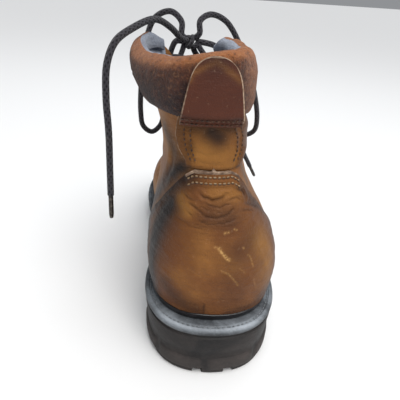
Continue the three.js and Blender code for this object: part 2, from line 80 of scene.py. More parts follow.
# stations of the net, counted from the back of the heel
THROAT_TOP = 5.05
THROAT_BASE = 8.05
EYELETS_TOP = 5.32
EYELETS_BASE = 8.07
COUNTER_REACH = 4.25
MM = 0.001

ROWS = [
    [[0, 0, 7.5, 38], [23, -23, 12, 38], [37, -37, 32, 38], [38, -37, 62, 38], [37, -30, 105, 34.5],
     [42, -30, 150, 27], [49, -43, 192, 22.4], [47, -46, 232, 23], [33, -37, 270, 26.5], [-5, -5, 295, 30.5]],
    [[0, 0, 3, 57], [26, -26, 8, 57], [42, -42, 30, 57], [44, -43, 62, 57], [42, -35, 105, 54],
     [46, -34, 150, 48], [52, -47, 192, 42], [50, -50, 232, 42], [35, -40, 272, 44], [-5, -5, 300, 46]],
    [[0, 0, 2, 82], [24, -25, 7, 82], [40, -41, 30, 82], [41, -43, 62, 82], [38, -37, 102, 79],
     [39, -34, 146, 70], [44, -42, 188, 60], [43, -44, 228, 59], [30, -35, 266, 60], [-5, -5, 292, 62]],
    [[-3, -3, 9, 112], [13, -21, 13, 112], [20, -35, 34, 112], [23, -38, 62, 110], [24, -36, 94, 104],
     [27, -31, 134, 94], [33, -32, 178, 77], [31, -33, 216, 71], [20, -25, 248, 69], [-4, -4, 270, 70]],
    [[-7, -7, 15, 138], [7, -22, 19, 138], [10.5, -31, 38, 138], [9, -32, 62, 137], [10.5, -31, 88, 131],
     [13.5, -28, 118, 121], [21, -25, 160, 98], [19, -22, 200, 84], [11, -14, 226, 78], [-2, -2, 241, 76]],
    [[-10, -10, 16, 165], [7, -27, 20, 165], [10, -38, 40, 165], [9, -39.5, 64, 165], [9, -37, 87, 164],
     [8, -31, 108, 153], [15, -22, 142, 122], [14, -16, 181, 97], [8, -9, 205, 87], [-1, -1, 215, 84]],
    [[-12, -12, 13, SHAFT_TOP + 3], [5, -31, 16, SHAFT_TOP + 5, SHAFT_TOP - 1],
     [8, -46, 38, SHAFT_TOP + 4, SHAFT_TOP - 3], [6, -53, 64, SHAFT_TOP + 4, SHAFT_TOP],
     [4, -50, 88, SHAFT_TOP + 4, SHAFT_TOP + 5], [-1, -33, 109, SHAFT_TOP - 1], [9, -18, 135, 147],
     [11, -12, 165, 113], [8, -8, 186, 98], [0, 0, 193, 94]],
]
OUTLINE = [[0, 0, -6], [29.5, -30, 1.5], [45, -45, 28], [47, -46, 62], [45, -37, 105], [49, -36, 150],
           [57, -49.5, 192], [55, -54, 232], [41, -46.5, 277], [-5, -5, 310]]
SIDE = len(OUTLINE) - 1
STATIONS = 2 * SIDE


def ring_of(columns):
    """Closed ring of points from the outer and inner columns of one row."""
    outer = [[c[0], *c[2:4]] for c in columns]
    inner = [[c[1], *c[2:3], *c[3:][-1:]] for c in columns[-2:0:-1]]
    return np.array(outer + inner, float)


NET = np.array([ring_of(row) for row in ROWS])
NET = np.concatenate([2 * NET[:1] - NET[1:2], NET, 2 * NET[-1:] - NET[-2:-1]])
RIM = ring_of(OUTLINE)


def basis(t):
    t = np.asarray(t, float)
    weights = (1 - t) ** 3, 3 * t ** 3 - 6 * t * t + 4, 1 + 3 * t + 3 * t * t - 3 * t ** 3, t ** 3
    return np.stack(weights) / 6


def last(s, v):
    """Points of the last: station s runs round the foot, v from feather 0 to top edge 1."""
    s, v = np.broadcast_arrays(np.asarray(s, float), np.asarray(v, float))
    span = len(ROWS) - 1
    row = np.clip(np.floor(v * span), 0, span - 1).astype(int)
    along = np.floor(s).astype(int)
    rows, stations = basis(v * span - row), basis(s - along)
    points = np.zeros(s.shape + (3,))
    for i in range(4):
        for j in range(4):
            weight = (rows[i] * stations[j])[..., None]
            points += weight * NET[row + i, (along + j - 1) % STATIONS]
    return points


def outward(s, v, step=0.02):
    along = last(np.add(s, step), v) - last(np.subtract(s, step), v)
    up = last(s, np.add(v, step / 4)) - last(s, np.subtract(v, step / 4))
    return unit(np.cross(along, up))


def sideways(s, v):
    """Outward without its rise."""
    level = outward(s, v)
    level[..., 2] = 0
    return unit(level)


def raised(s, v, distance):
    return last(s, v) + outward(s, v) * np.asarray(distance, float)[..., None]


def search(s, level, low=-0.2, high=1.0):
    """Height share at which each column's level function passes zero."""
    s = np.asarray(s, float)
    low, high = np.full(s.shape, low), np.full(s.shape, high)
    for _ in range(24):
        middle = (low + high) / 2
        under = level(last(s, middle)) < 0
        low, high = np.where(under, middle, low), np.where(under, high, middle)
    return low


def reach(s, z):
    return search(s, lambda p: p[..., 2] - z, 0)


def station_at(x, level):
    """Station and height of the skin at the back of the boot that lie at a given x and level."""
    x, level = np.broadcast_arrays(np.asarray(x, float), np.asarray(level, float))
    low, high = np.full(x.shape, -2.4), np.full(x.shape, 2.4)
    for _ in range(24):
        middle = (low + high) / 2
        v = reach(middle, level)
        left = last(middle, v)[..., 0] < x
        low, high = np.where(left, middle, low), np.where(left, high, middle)
    return middle, v


def seat(s, lift):
    return search(s, lambda p: p[..., 2] - welt_level(p[..., 1]) - lift, high=0.4)


def unit(vectors):
    return vectors / np.linalg.norm(vectors, axis=-1, keepdims=True)


def smooth(low, high, value):
    t = np.clip((np.asarray(value, float) - low) / (high - low), 0, 1)
    return t * t * (3 - 2 * t)


def welt_level(y):
    drop = (HEEL_LEVEL - BALL_LEVEL) * smooth(64, 196, y)
    return HEEL_LEVEL - drop + TOE_SPRING * smooth(215, 330, y) * 1.25


def tread_level(y):
    waist = WAIST_LIFT * smooth(HEEL_BREAST, HEEL_BREAST + 8, y) * (1 - smooth(118, 148, y))
    return waist + TOE_SPRING * smooth(232, 312, y) * 1.1


def rim(s, inset=0.0):
    """Outline of the welt, moved inward by an inset."""
    def at(t):
        along = np.floor(t).astype(int)
        weights = basis(t - along)
        return sum(weights[j][..., None] * RIM[(along + j - 1) % STATIONS] for j in range(4))

    s = np.asarray(s, float)
    ahead = unit(at(s + 0.01) - at(s - 0.01))
    side = np.stack([-ahead[..., 1], ahead[..., 0]], -1)
    return at(s) + side * np.asarray(inset)[..., None]


def place_of_frame():
    """Where the net's own origin stands in the frame, from the welt's box."""
    low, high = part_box("welt")
    edge = rim(np.linspace(0, STATIONS, 721))
    corners = edge.min(0), edge.max(0)
    flat = [(low[k] + high[k]) / 2 - MM * (corners[0][k] + corners[1][k]) / 2 for k in range(2)]
    return np.array(flat + [0.0])


PLACE = place_of_frame()


def metres(points):
    return np.asarray(points, float) * MM + PLACE



# ---- Shader expressions and finishes ----
def tint(red, green, blue):
    """Linear colour from everyday 0-255 values."""
    def linear(value):
        value /= 255
        return value / 12.92 if value <= 0.04045 else ((value + 0.055) / 1.055) ** 2.4
    return (linear(red), linear(green), linear(blue), 1.0)


class Wire:
    """One number socket of a finish; arithmetic on it adds Math nodes."""

    def __init__(self, finish, socket):
        self.finish, self.socket = finish, socket

    def math(self, operation, *others, swap=False):
        terms = [self, *others]
        if swap:
            terms.reverse()
        return self.finish.add("ShaderNodeMath", {"operation": operation}, dict(enumerate(terms)))

    def __add__(self, other):
        return self.math("ADD", other)

    def __radd__(self, other):
        return self.math("ADD", other, swap=True)

    def __sub__(self, other):
        return self.math("SUBTRACT", other)

    def __rsub__(self, other):
        return self.math("SUBTRACT", other, swap=True)

    def __mul__(self, other):
        return self.math("MULTIPLY", other)

    def __rmul__(self, other):
        return self.math("MULTIPLY", other, swap=True)

    def __pow__(self, other):
        return self.math("POWER", other)

    def sine(self):
        return self.math("SINE")

    def between(self, low, high):
        """Soft step from 0 at low to 1 at high."""
        return self.finish.add("ShaderNodeMapRange", {"interpolation_type": "SMOOTHSTEP", "clamp": True},
                               {"Value": self, "From Min": low, "From Max": high})

    def clamp(self):
        return self.finish.add("ShaderNodeClamp", {}, {"Value": self})


class Finish:
    """A material whose nodes are written as expressions."""

    def __init__(self, name, **constants):
        self.material = bpy.data.materials.new(name)
        self.material.use_nodes = True
        self.tree = self.material.node_tree
        self.shader = self.tree.nodes["Principled BSDF"]
        for socket, value in constants.items():
            self.shader.inputs[socket.replace("_", " ").title().replace("Ior", "IOR")].default_value = value
        coordinates = self.tree.nodes.new("ShaderNodeTexCoord")
        self.object = Wire(self, coordinates.outputs["Object"])
        self.uv = Wire(self, coordinates.outputs["UV"])

    def add(self, kind, settings, sockets, output=0):
        node = self.tree.nodes.new(kind)
        for key, value in settings.items():
            setattr(node, key, value)
        for key, value in sockets.items():
            socket = node.inputs[key]
            if isinstance(value, Wire):
                self.tree.links.new(value.socket, socket)
            else:
                socket.default_value = value
        return Wire(self, node.outputs[output])

    def noise(self, scale, detail=4.0, roughness=0.55, vector=None, distortion=0.0):
        sockets = {"Vector": vector or self.object, "Scale": scale, "Detail": detail, "Roughness": roughness,
                   "Distortion": distortion}
        return self.add("ShaderNodeTexNoise", {}, sockets, "Fac")

    def cells(self, scale, feature="F1", vector=None, randomness=1.0):
        sockets = {"Vector": vector or self.object, "Scale": scale, "Randomness": randomness}
        return self.add("ShaderNodeTexVoronoi", {"feature": feature}, sockets, "Distance")

    def stretched(self, scale, turn=(0, 0, 0), vector=None):
        return self.add("ShaderNodeMapping", {}, {"Vector": vector or self.object, "Scale": scale,
                                                  "Rotation": turn}, "Vector")

    def mark(self, name):
        """A painted attribute of the piece."""
        return self.add("ShaderNodeAttribute", {"attribute_name": name}, {}, "Fac")

    def along(self, axis, vector=None):
        return self.add("ShaderNodeSeparateXYZ", {}, {"Vector": vector or self.object}, axis)

    def mix(self, share, below, above):
        node = self.tree.nodes.new("ShaderNodeMix")
        node.data_type = "RGBA"
        for socket, value in ((node.inputs[0], share), (node.inputs[6], below), (node.inputs[7], above)):
            if isinstance(value, Wire):
                self.tree.links.new(value.socket, socket)
            else:
                socket.default_value = value
        return Wire(self, node.outputs[2])

    def finish(self, colour=None, roughness=None, height=None, relief=0.0005, coat=None):
        """Joins the results to the shader; height runs 0 to 1 over a relief in metres."""
        for socket, value in (("Base Color", colour), ("Roughness", roughness), ("Coat Weight", coat)):
            if isinstance(value, Wire):
                self.tree.links.new(value.socket, self.shader.inputs[socket])
            elif value is not None:
                self.shader.inputs[socket].default_value = value
        if height is not None:
            bump = self.add("ShaderNodeBump", {}, {"Height": height, "Strength": 1.0, "Distance": relief})
            self.tree.links.new(bump.socket, self.shader.inputs["Normal"])
        return self.material


def grained_leather(name, base, light, dark, gloss):
    """Oiled full-grain leather with pores, soft mottling, painted stains, rubs, pale scuffs and folds; the
    fold mark is painted shade, the stain and rub marks also carry painted shade and painted light, and a grey
    painted sheen lies over stained parts.
    """
    base, light, dark = tint(*base), tint(*light), tint(*dark)
    f = Finish(name, specular_ior_level=0.17)
    mottle = f.noise(26, 5, 0.6)
    broad = f.noise(9, 3, 0.5, distortion=0.6)
    streak = f.noise(30, 4, 0.6, f.stretched((1, 1, 3.2)))
    pores = f.cells(1150)
    grain = f.noise(700, 3, 0.6)
    wrinkle = f.noise(150, 5, 0.62, f.stretched((0.5, 0.5, 1.5)), 0.8)
    stain = f.mark("stain")
    fold = f.mark("fold")
    lines = f.noise(120, 5, 0.7, f.stretched((0.35, 0.35, 2.6)), 1.2)
    rub = f.mark("rub")
    scuff = f.mark("scuff")
    colour = f.mix(mottle.between(0.38, 0.66) * 0.75, base, light)
    colour = f.mix(broad.between(0.48, 0.7) * 0.55, colour, dark)
    colour = f.mix(streak.between(0.55, 0.8) * 0.35, colour, dark)
    # the rub mark lightens worn places and also carries a painted pool of light on the heel counter's lateral
    # side
    colour = f.mix((rub * mottle.between(0.2, 0.6)).clamp(), colour, tint(160, 112, 52))
    # the stain mark darkens real stains and also carries painted shade under the pull tab
    patchy = (stain * (0.6 + mottle * 0.95)).clamp()
    colour = f.mix(patchy, colour, tint(24, 17, 16))
    # painted sheen: a grey tint over part of the stained leather stands for grazing reflections
    colour = f.mix((stain * broad.between(0.5, 0.62) * 0.2).clamp(), colour, tint(66, 56, 60))
    # painted shade in the creases, along the quarter's lapped edge, in the heel crack, along the counter's
    # top edge and at the pull tab's foot
    colour = f.mix((fold * 0.6).clamp(), colour, tint(42, 24, 15))
    colour = f.mix(lines.between(0.58, 0.72) * 0.4, colour, dark)
    colour = f.mix((1 - lines.between(0.26, 0.4)) * 0.3, colour, light)
    speckle = f.noise(900, 2, 0.7).between(0.42, 0.58)
    pale = (scuff * (0.25 + speckle * 0.75)).clamp()
    colour = f.mix(pale, colour, tint(190, 148, 92))
    dust = f.noise(420, 3, 0.7).between(0.62, 0.78) * 0.16
    colour = f.mix(dust, colour, tint(196, 168, 136))
    roughness = (gloss + (mottle - 0.5) * 0.25 + scuff * 0.25 - stain * 0.08 + grain * 0.08).clamp()
    height = pores.between(0, 0.75) * 0.3 + grain * 0.25 + wrinkle * 1.0 + lines * 0.9 - scuff * 0.35
    return f.finish(colour, roughness, height, 0.00055)


def napped_suede():
    """Brown suede, darker towards the foot of the collar, rubbed orange along the rim."""
    f = Finish("suede", sheen_weight=0.18, sheen_roughness=0.45, specular_ior_level=0.2)
    nap = f.noise(900, 4, 0.85)
    tuft = f.noise(330, 5, 0.8)
    brush = f.noise(70, 4, 0.7, f.stretched((1, 1, 0.6)))
    rub = f.mark("rub")
    low_darkening = f.mark("stain")
    colour = f.mix(tuft.between(0.38, 0.64), tint(33, 17, 18), tint(80, 44, 34))
    colour = f.mix((rub * (0.45 + brush * 0.95)).clamp(), colour, tint(158, 98, 56))
    colour = f.mix((low_darkening * brush.between(0.3, 0.6)).clamp(), colour, tint(34, 22, 25))
    colour = f.mix(nap.between(0.54, 0.72) * (0.25 + rub * 0.5), colour, tint(186, 132, 88))
    colour = f.mix((1 - nap.between(0.3, 0.46)) * 0.5, colour, tint(30, 18, 18))
    fleck = f.noise(430, 3, 0.75)
    colour = f.mix(fleck.between(0.56, 0.66) * (0.16 + rub * 0.42), colour, tint(180, 128, 86))
    colour = f.mix((1 - fleck.between(0.36, 0.46)) * 0.5, colour, tint(26, 15, 17))
    height = nap * 0.8 + tuft * 0.8 + brush * 0.5
    return f.finish(colour, 0.94, height, 0.0011)


def fleece():
    """Blue-grey napped lining with dark lint."""
    f = Finish("fleece lining", sheen_weight=0.3, sheen_roughness=0.5, specular_ior_level=0.15)
    knit = f.cells(900)
    fuzz = f.noise(1200, 4, 0.8)
    grime = f.noise(60, 4, 0.6)
    lint = f.noise(520, 2, 0.7).between(0.66, 0.74)
    colour = f.mix(fuzz.between(0.3, 0.7), tint(104, 112, 128), tint(176, 184, 200))
    colour = f.mix(grime.between(0.45, 0.75) * 0.6, colour, tint(92, 92, 108))
    colour = f.mix((f.mark("stain") * 0.8).clamp(), colour, tint(52, 48, 54))
    colour = f.mix(lint, colour, tint(34, 32, 38))
    return f.finish(colour, 0.95, knit * 0.6 + fuzz * 0.8, 0.0008)


def raw_edge():
    """Pale cut edge of the leather."""
    f = Finish("raw leather edge")
    fibre = f.noise(700, 4, 0.7)
    dirt = f.noise(90, 3, 0.6)
    colour = f.mix(fibre.between(0.3, 0.7), tint(134, 106, 84), tint(186, 162, 138))
    colour = f.mix(dirt.between(0.4, 0.58) * 0.85, colour, tint(74, 50, 38))
    return f.finish(colour, 0.85, fibre, 0.0004)


def dusty_rubber(name, deep, dust, amount, scale):
    """Moulded rubber with grey dust caught on its upper faces and in its texture."""
    deep, dust = tint(*deep), tint(*dust)
    f = Finish(name, specular_ior_level=0.35)
    fine = f.noise(640 * scale, 4, 0.7)
    smear = f.noise(38, 5, 0.65, distortion=0.7)
    drag = f.noise(90, 4, 0.7, f.stretched((1, 1, 4)))
    specks = f.noise(1000, 2, 0.6).between(0.6, 0.72)
    film = smear.between(0.35, 0.7) * 0.75 + drag.between(0.5, 0.8) * 0.35
    cover = (amount * film + f.mark("dust") * (0.3 + smear * 0.7)).clamp()
    colour = f.mix(cover, deep, dust)
    colour = f.mix(specks * 0.35, colour, tint(30, 28, 30))
    colour = f.mix(fine.between(0.52, 0.72) * (0.12 + cover * 0.4), colour, dust)
    return f.finish(colour, (0.5 + cover * 0.4 + fine * 0.1).clamp(), fine * 0.5 + smear, 0.0005)


def black_gloss():
    f = Finish("glossy rand", specular_ior_level=0.6)
    smear = f.noise(60, 4, 0.6)
    fine = f.noise(500, 3, 0.6)
    colour = f.mix(smear.between(0.5, 0.75) * 0.45, tint(16, 14, 17), tint(66, 60, 62))
    return f.finish(colour, (0.22 + smear * 0.3).clamp(), fine * 0.3 + smear, 0.0004)


def woven_lace():
    """Charcoal braid: two families of slanting strands round the cord."""
    f = Finish("charcoal lace", sheen_weight=0.2, specular_ior_level=0.2)
    across = f.along("X", f.uv)
    down = f.along("Y", f.uv)
    turns, pitch = 6.0, 1 / 0.0042
    left = ((across * turns + down * pitch) * (2 * math.pi)).sine() * 0.5 + 0.5
    right = ((across * turns - down * pitch) * (2 * math.pi)).sine() * 0.5 + 0.5
    braid = left.math("MAXIMUM", right)
    worn = f.noise(240, 4, 0.7)
    colour = f.mix(braid.between(0.2, 0.9), tint(14, 13, 16), tint(52, 50, 56))
    colour = f.mix(worn.between(0.55, 0.8) * 0.5, colour, tint(98, 92, 92))
    return f.finish(colour, 0.85, braid + worn * 0.4, 0.0005)


def thread(name, colour, worn):
    f = Finish(name)
    ply = f.noise(900, 3, 0.7)
    return f.finish(f.mix(ply.between(0.35, 0.7), tint(*colour), tint(*worn)), 0.75, ply, 0.0003)


def dark_metal():
    f = Finish("dark metal", metallic=0.85)
    rubbed = f.noise(500, 3, 0.6).between(0.45, 0.7)
    colour = f.mix(rubbed * 0.6, tint(52, 48, 46), tint(136, 128, 118))
    return f.finish(colour, (0.32 + rubbed * 0.25).clamp(), f.noise(900), 0.0001)


def foot_bed():
    f = Finish("worn foot bed", sheen_weight=0.2)
    weave = f.cells(700)
    grime = f.noise(22, 4, 0.6)
    colour = f.mix(weave, tint(96, 98, 108), tint(128, 130, 142))
    colour = f.mix(grime.between(0.4, 0.65) * 0.8, colour, tint(58, 52, 50))
    return f.finish(colour, 0.9, weave, 0.0005)


# Maker of each finish, then its name in Blender, colours from 0 to 255 and other values.
MAKERS = {
    "leather": (grained_leather, "tan leather", (130, 84, 46), (164, 116, 66), (88, 55, 34), 0.5),
    "counter": (grained_leather, "counter leather", (104, 62, 31), (134, 87, 45), (68, 40, 27), 0.44),
    "backstay": (grained_leather, "backstay leather", (108, 67, 31), (138, 90, 41), (76, 44, 25), 0.42),
    "tab": (grained_leather, "tab leather", (81, 43, 30), (95, 53, 36), (62, 33, 26), 0.42),
    "tongue": (grained_leather, "tongue leather", (118, 76, 42), (146, 98, 58), (84, 52, 32), 0.6),
    "suede": (napped_suede,),
    "fleece": (fleece,),
    "edge": (raw_edge,),
    "outsole": (dusty_rubber, "outsole rubber", (14, 12, 13), (80, 73, 70), 0.4, 1.0),
    "welt": (dusty_rubber, "welt rubber", (32, 33, 36), (178, 186, 194), 0.42, 1.4),
    "rand": (black_gloss,),
    "lace": (woven_lace,),
    "thread": (thread, "dark thread", (40, 26, 20), (96, 66, 46)),
    "cream": (thread, "cream thread", (112, 86, 58), (166, 142, 108)),
    "dusty": (thread, "dusty thread", (86, 90, 94), (144, 148, 152)),
    "metal": (dark_metal,),
    "insole": (foot_bed,),
}
FINISHES = {}


def finish_of(name):
    """Each finish is made once."""
    if name not in FINISHES:
        maker, *values = MAKERS[name]
        FINISHES[name] = maker(*values)
    return FINISHES[name]


# ---- Meshes ----
def put(name, data):
    thing = bpy.data.objects.new(name, data)
    bpy.context.scene.collection.objects.link(thing)
    return thing


def soften(mesh, angle):
    mesh.shade_smooth()
    mesh.set_sharp_from_angle(angle=math.radians(angle))


def mesh_piece(name, points, faces, finishes, slots=None, sharp=50):
    mesh = bpy.data.meshes.new(name)
    mesh.from_pydata([tuple(p) for p in metres(points)], [], faces)
    for finish in finishes:
        mesh.materials.append(finish_of(finish))
    if slots is not None:
        mesh.polygons.foreach_set("material_index", slots)
    soften(mesh, sharp)
    piece = put(name, mesh)
    mend(piece)
    return piece


def strips(count, size, ring=False):
    """Quads between loops of points; a ring also joins its last loop to its first."""
    quads = []
    for i in range(count if ring else count - 1):
        a, b = i * size, (i + 1) % count * size
        quads += [(a + j, b + j, b + (j + 1) % size, a + (j + 1) % size) for j in range(size)]
    return quads


def stacked(name, loops, finish, sharp=50):
    """Solid of stacked loops, closed across the first and the last from side to side."""
    size = len(loops[0])
    faces = strips(len(loops), size)
    for base in (0, (len(loops) - 1) * size):
        faces.append((base, base + 1, base + size - 1))
        faces += [(base + j, base + j + 1, base + size - j - 1, base + size - j)
                  for j in range(1, size // 2 - 1)]
        faces.append((base + size // 2 - 1, base + size // 2, base + size // 2 + 1))
    return mesh_piece(name, np.concatenate(loops), faces, [finish], sharp=sharp)


def mend(piece):
    """Turns a closed piece's faces outward."""
    work = bmesh.new()
    work.from_mesh(piece.data)
    bmesh.ops.remove_doubles(work, verts=work.verts, dist=1e-7)
    bmesh.ops.recalc_face_normals(work, faces=work.faces)
    if work.calc_volume(signed=True) < 0:
        bmesh.ops.reverse_faces(work, faces=work.faces)
    work.to_mesh(piece.data)
    work.free()


def paint(piece, inner=None, **marks):
    """Stores numbers at the points of a piece for its finish to read; a shell's inner face gets a share."""
    for name, values in marks.items():
        values = np.asarray(values, np.float32)
        if inner is not None:
            values = np.concatenate([values.ravel(), inner * values.ravel()])
        attribute = piece.data.attributes.new(name, "FLOAT", "POINT")
        attribute.data.foreach_set("value", np.clip(values, 0, 1))


def shell(name, out, back, finishes, ring=False, slot=lambda i, k: 0, back_slot=lambda i, k: 0,
          rim_slot=lambda i, k: 1):
    """Closed wall between two grids [station, height]; the slots choose a finish from a place on the grid."""
    count, rows = out.shape[:2]
    second = count * rows
    faces, slots = [], []

    def quad(a, b, c, d, finish):
        faces.append((a, b, c, d))
        slots.append(finish)

    for i in range(count if ring else count - 1):
        a, b = i * rows, (i + 1) % count * rows
        c, d = second + a, second + b
        for k in range(rows - 1):
            quad(a + k, b + k, b + k + 1, a + k + 1, slot(i, k))
            quad(c + k, c + k + 1, d + k + 1, d + k, back_slot(i, k))
        for k in (0, rows - 1):
            quad(a + k, c + k, d + k, b + k, rim_slot(i, k))
    if not ring:
        for i in (0, count - 1):
            a, c = i * rows, second + i * rows
            for k in range(rows - 1):
                quad(a + k, a + k + 1, c + k + 1, c + k, rim_slot(i, k))
    points = np.concatenate([out.reshape(-1, 3), back.reshape(-1, 3)])
    return mesh_piece(name, points, faces, finishes, slots)


def on_skin(points, path, step=1.5):
    """A given line dropped onto the nearest points of a skin."""
    path = np.asarray(path, float)
    flat = points.reshape(-1, 3)
    walk = [path[0]]
    for a, b in zip(path[:-1], path[1:]):
        count = max(1, int(np.linalg.norm(b - a) / step))
        walk += [a + (b - a) * k / count for k in range(1, count + 1)]
    landed = [flat[np.argmin(((flat - p) ** 2).sum(1))] for p in walk]
    kept = [landed[0]]
    for p in landed[1:]:
        if np.linalg.norm(p - kept[-1]) > 0.3:
            kept.append(p)
    return np.array(kept)


def distance_to(points, path):
    """Distance of each point from a line laid on the skin."""
    path = on_skin(points, path)
    if len(path) == 1:
        return np.linalg.norm(points - path[0], axis=-1)
    best = np.full(points.shape[:-1], 1e9)
    for a, b in zip(path[:-1], path[1:]):
        run = b - a
        t = np.clip(((points - a) @ run) / (run @ run), 0, 1)[..., None]
        best = np.minimum(best, np.linalg.norm(points - a - t * run, axis=-1))
    return best


def blot(points, marks):
    """Strongest at each point of some soft marks [path, radius, strength]."""
    total = np.zeros(points.shape[:-1])
    for path, radius, strength in marks:
        total = np.maximum(total, strength * np.exp(-(distance_to(points, path) / radius) ** 2))
    return total


def crease(points, folds):
    """Height of troughs with a rounded ridge on either side, and the painted shade in each trough; folds as
    blot's.
    """
    height, depth = np.zeros(points.shape[:-1]), np.zeros(points.shape[:-1])
    for path, width, strength in folds:
        away = distance_to(points, path) / width
        fade = np.ones_like(away)
        if len(path) > 1:
            laid = on_skin(points, [path[0], path[-1]], 1e6)
            ends = np.minimum(*(np.linalg.norm(points - end, axis=-1) for end in (laid[0], laid[-1])))
            fade = 0.15 + 0.85 * smooth(0, 4 * width, ends)
        height += strength * fade * (0.55 * np.exp(-((away - 1.9) / 1.0) ** 2) - np.exp(-away ** 2))
        depth = np.maximum(depth, fade * np.exp(-(away / 0.55) ** 2) * min(1, strength / 0.6))
    return height, depth


def ripple(points, size, seed, octaves=3):
    """Smooth unevenness from a few crossing waves."""
    rng = np.random.default_rng(seed)
    total = np.zeros(points.shape[:-1])
    for octave in range(octaves):
        for _ in range(4):
            direction = unit(rng.normal(size=3))
            wave = size / 2 ** octave * rng.uniform(0.7, 1.4)
            phase = points @ direction * (2 * math.pi / wave) + rng.uniform(0, 6.28)
            total += np.sin(phase) / 2 ** octave / 4
    return total


def walked(path):
    """Length of a path from its start up to each of its points."""
    return np.concatenate([[0], np.cumsum(np.linalg.norm(np.diff(path, axis=0), axis=1))])


def curve_through(points, samples):
    """Centripetal curve through given points, as many samples as asked, evenly spaced."""
    p = np.asarray(points, float)
    p = np.concatenate([[2 * p[0] - p[1]], p, [2 * p[-1] - p[-2]]])
    found = []
    for i in range(1, len(p) - 2):
        knots = np.cumsum([0] + [np.linalg.norm(p[i + k] - p[i + k - 1]) ** 0.5 for k in range(3)])
        t0, t1, t2, t3 = knots
        for t in np.linspace(t1, t2, 24, endpoint=False):
            a1 = (t1 - t) / (t1 - t0) * p[i - 1] + (t - t0) / (t1 - t0) * p[i]
            a2 = (t2 - t) / (t2 - t1) * p[i] + (t - t1) / (t2 - t1) * p[i + 1]
            a3 = (t3 - t) / (t3 - t2) * p[i + 1] + (t - t2) / (t3 - t2) * p[i + 2]
            b1 = (t2 - t) / (t2 - t0) * a1 + (t - t0) / (t2 - t0) * a2
            b2 = (t3 - t) / (t3 - t1) * a2 + (t - t1) / (t3 - t1) * a3
            found.append((t2 - t) / (t2 - t1) * b1 + (t - t1) / (t2 - t1) * b2)
    found = np.array(found + [p[-2]])
    gone = walked(found)
    even = np.linspace(0, gone[-1], samples)
    return np.stack([np.interp(even, gone, found[:, k]) for k in range(3)], 1)


def tube(name, path, radius, finish="lace", sides=16, taper=lambda share: 1):
    """Round cord along a path, closed at both ends, with the braid's own map in metres."""
    path = np.asarray(path, float)
    ahead = unit(np.gradient(path, axis=0))
    side = np.cross(ahead[0], [0.3, 0.2, 0.93])
    gone = walked(path)
    points, uvs = [], []
    for i, (p, t) in enumerate(zip(path, ahead)):
        side = unit(side - t * (side @ t))
        other = np.cross(t, side)
        size = radius * taper(gone[i] / gone[-1])
        for k in range(sides):
            angle = 2 * math.pi * k / sides
            points.append(p + size * (math.cos(angle) * side + math.sin(angle) * other))
            uvs.append((k / sides, gone[i] * MM))
    faces = []
    for i in range(len(path) - 1):
        for k in range(sides):
            n = (k + 1) % sides
            faces.append((i * sides + k, i * sides + n, (i + 1) * sides + n, (i + 1) * sides + k))
    faces.append(tuple(range(sides))[::-1])
    faces.append(tuple((len(path) - 1) * sides + k for k in range(sides)))
    mesh = bpy.data.meshes.new(name)
    mesh.from_pydata([tuple(p) for p in metres(points)], [], faces)
    layer = mesh.uv_layers.new(name="cord")
    for polygon in mesh.polygons:
        wraps = any(mesh.loops[i].vertex_index % sides == sides - 1 for i in polygon.loop_indices)
        for i in polygon.loop_indices:
            u, v = uvs[mesh.loops[i].vertex_index]
            layer.data[i].uv = (1.0 if wraps and u == 0 and polygon.index < len(faces) - 2 else u, v)
    mesh.materials.append(finish_of(finish))
    soften(mesh, 60)
    return put(name, mesh)


def joined(name, pieces):
    """Several pieces as one object; materials and maps are kept."""
    bpy.ops.object.select_all(action="DESELECT")
    for piece in pieces:
        piece.select_set(True)
    bpy.context.view_layer.objects.active = pieces[0]
    bpy.ops.object.join()
    pieces[0].name = pieces[0].data.name = name
    return pieces[0]


def settle(piece, slot, *nodes):
    """Puts a finished piece on the boot and hides the parts that it replaces."""
    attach(piece, "root")
    if nodes:
        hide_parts(*nodes)
    return piece


# ---- Stitches: one node tree sews every seam ----
def sewing_tree():
    """Node tree that lays one rounded stitch at each step along the seam lines."""
    tree = bpy.data.node_groups.new("Sewing", "GeometryNodeTree")
    face = tree.interface
    face.new_socket("Seams", in_out="INPUT", socket_type="NodeSocketGeometry")
    for label, value in (("Pitch", 0.0028), ("Stitch length", 0.002), ("Thickness", 0.0008)):
        socket = face.new_socket(label, in_out="INPUT", socket_type="NodeSocketFloat")
        socket.default_value = value
    face.new_socket("Thread", in_out="INPUT", socket_type="NodeSocketMaterial")
    face.new_socket("Stitches", in_out="OUTPUT", socket_type="NodeSocketGeometry")
    (inside, outside, walk, bead, size, tangent, turn, sew, real, soft, dress) = (
        tree.nodes.new(kind) for kind in (
            "NodeGroupInput", "NodeGroupOutput", "GeometryNodeResampleCurve", "GeometryNodeMeshUVSphere",
            "ShaderNodeCombineXYZ", "GeometryNodeInputTangent", "FunctionNodeAlignRotationToVector",
            "GeometryNodeInstanceOnPoints", "GeometryNodeRealizeInstances", "GeometryNodeSetShadeSmooth",
            "GeometryNodeSetMaterial"))
    walk.mode, turn.axis = "LENGTH", "Z"
    for label, value in (("Segments", 8), ("Rings", 6), ("Radius", 0.5)):
        bead.inputs[label].default_value = value
    for source, result, target, entry in (
            (inside, "Seams", walk, "Curve"), (inside, "Pitch", walk, "Length"),
            (inside, "Thickness", size, "X"), (inside, "Thickness", size, "Y"),
            (inside, "Stitch length", size, "Z"), (walk, "Curve", sew, "Points"),
            (bead, "Mesh", sew, "Instance"), (tangent, "Tangent", turn, "Vector"),
            (turn, "Rotation", sew, "Rotation"), (size, "Vector", sew, "Scale"),
            (sew, "Instances", real, "Geometry"), (real, "Geometry", soft, "Geometry"),
            (soft, "Geometry", dress, "Geometry"), (inside, "Thread", dress, "Material"),
            (dress, "Geometry", outside, "Stitches")):
        tree.links.new(source.outputs[result], target.inputs[entry])
    return tree


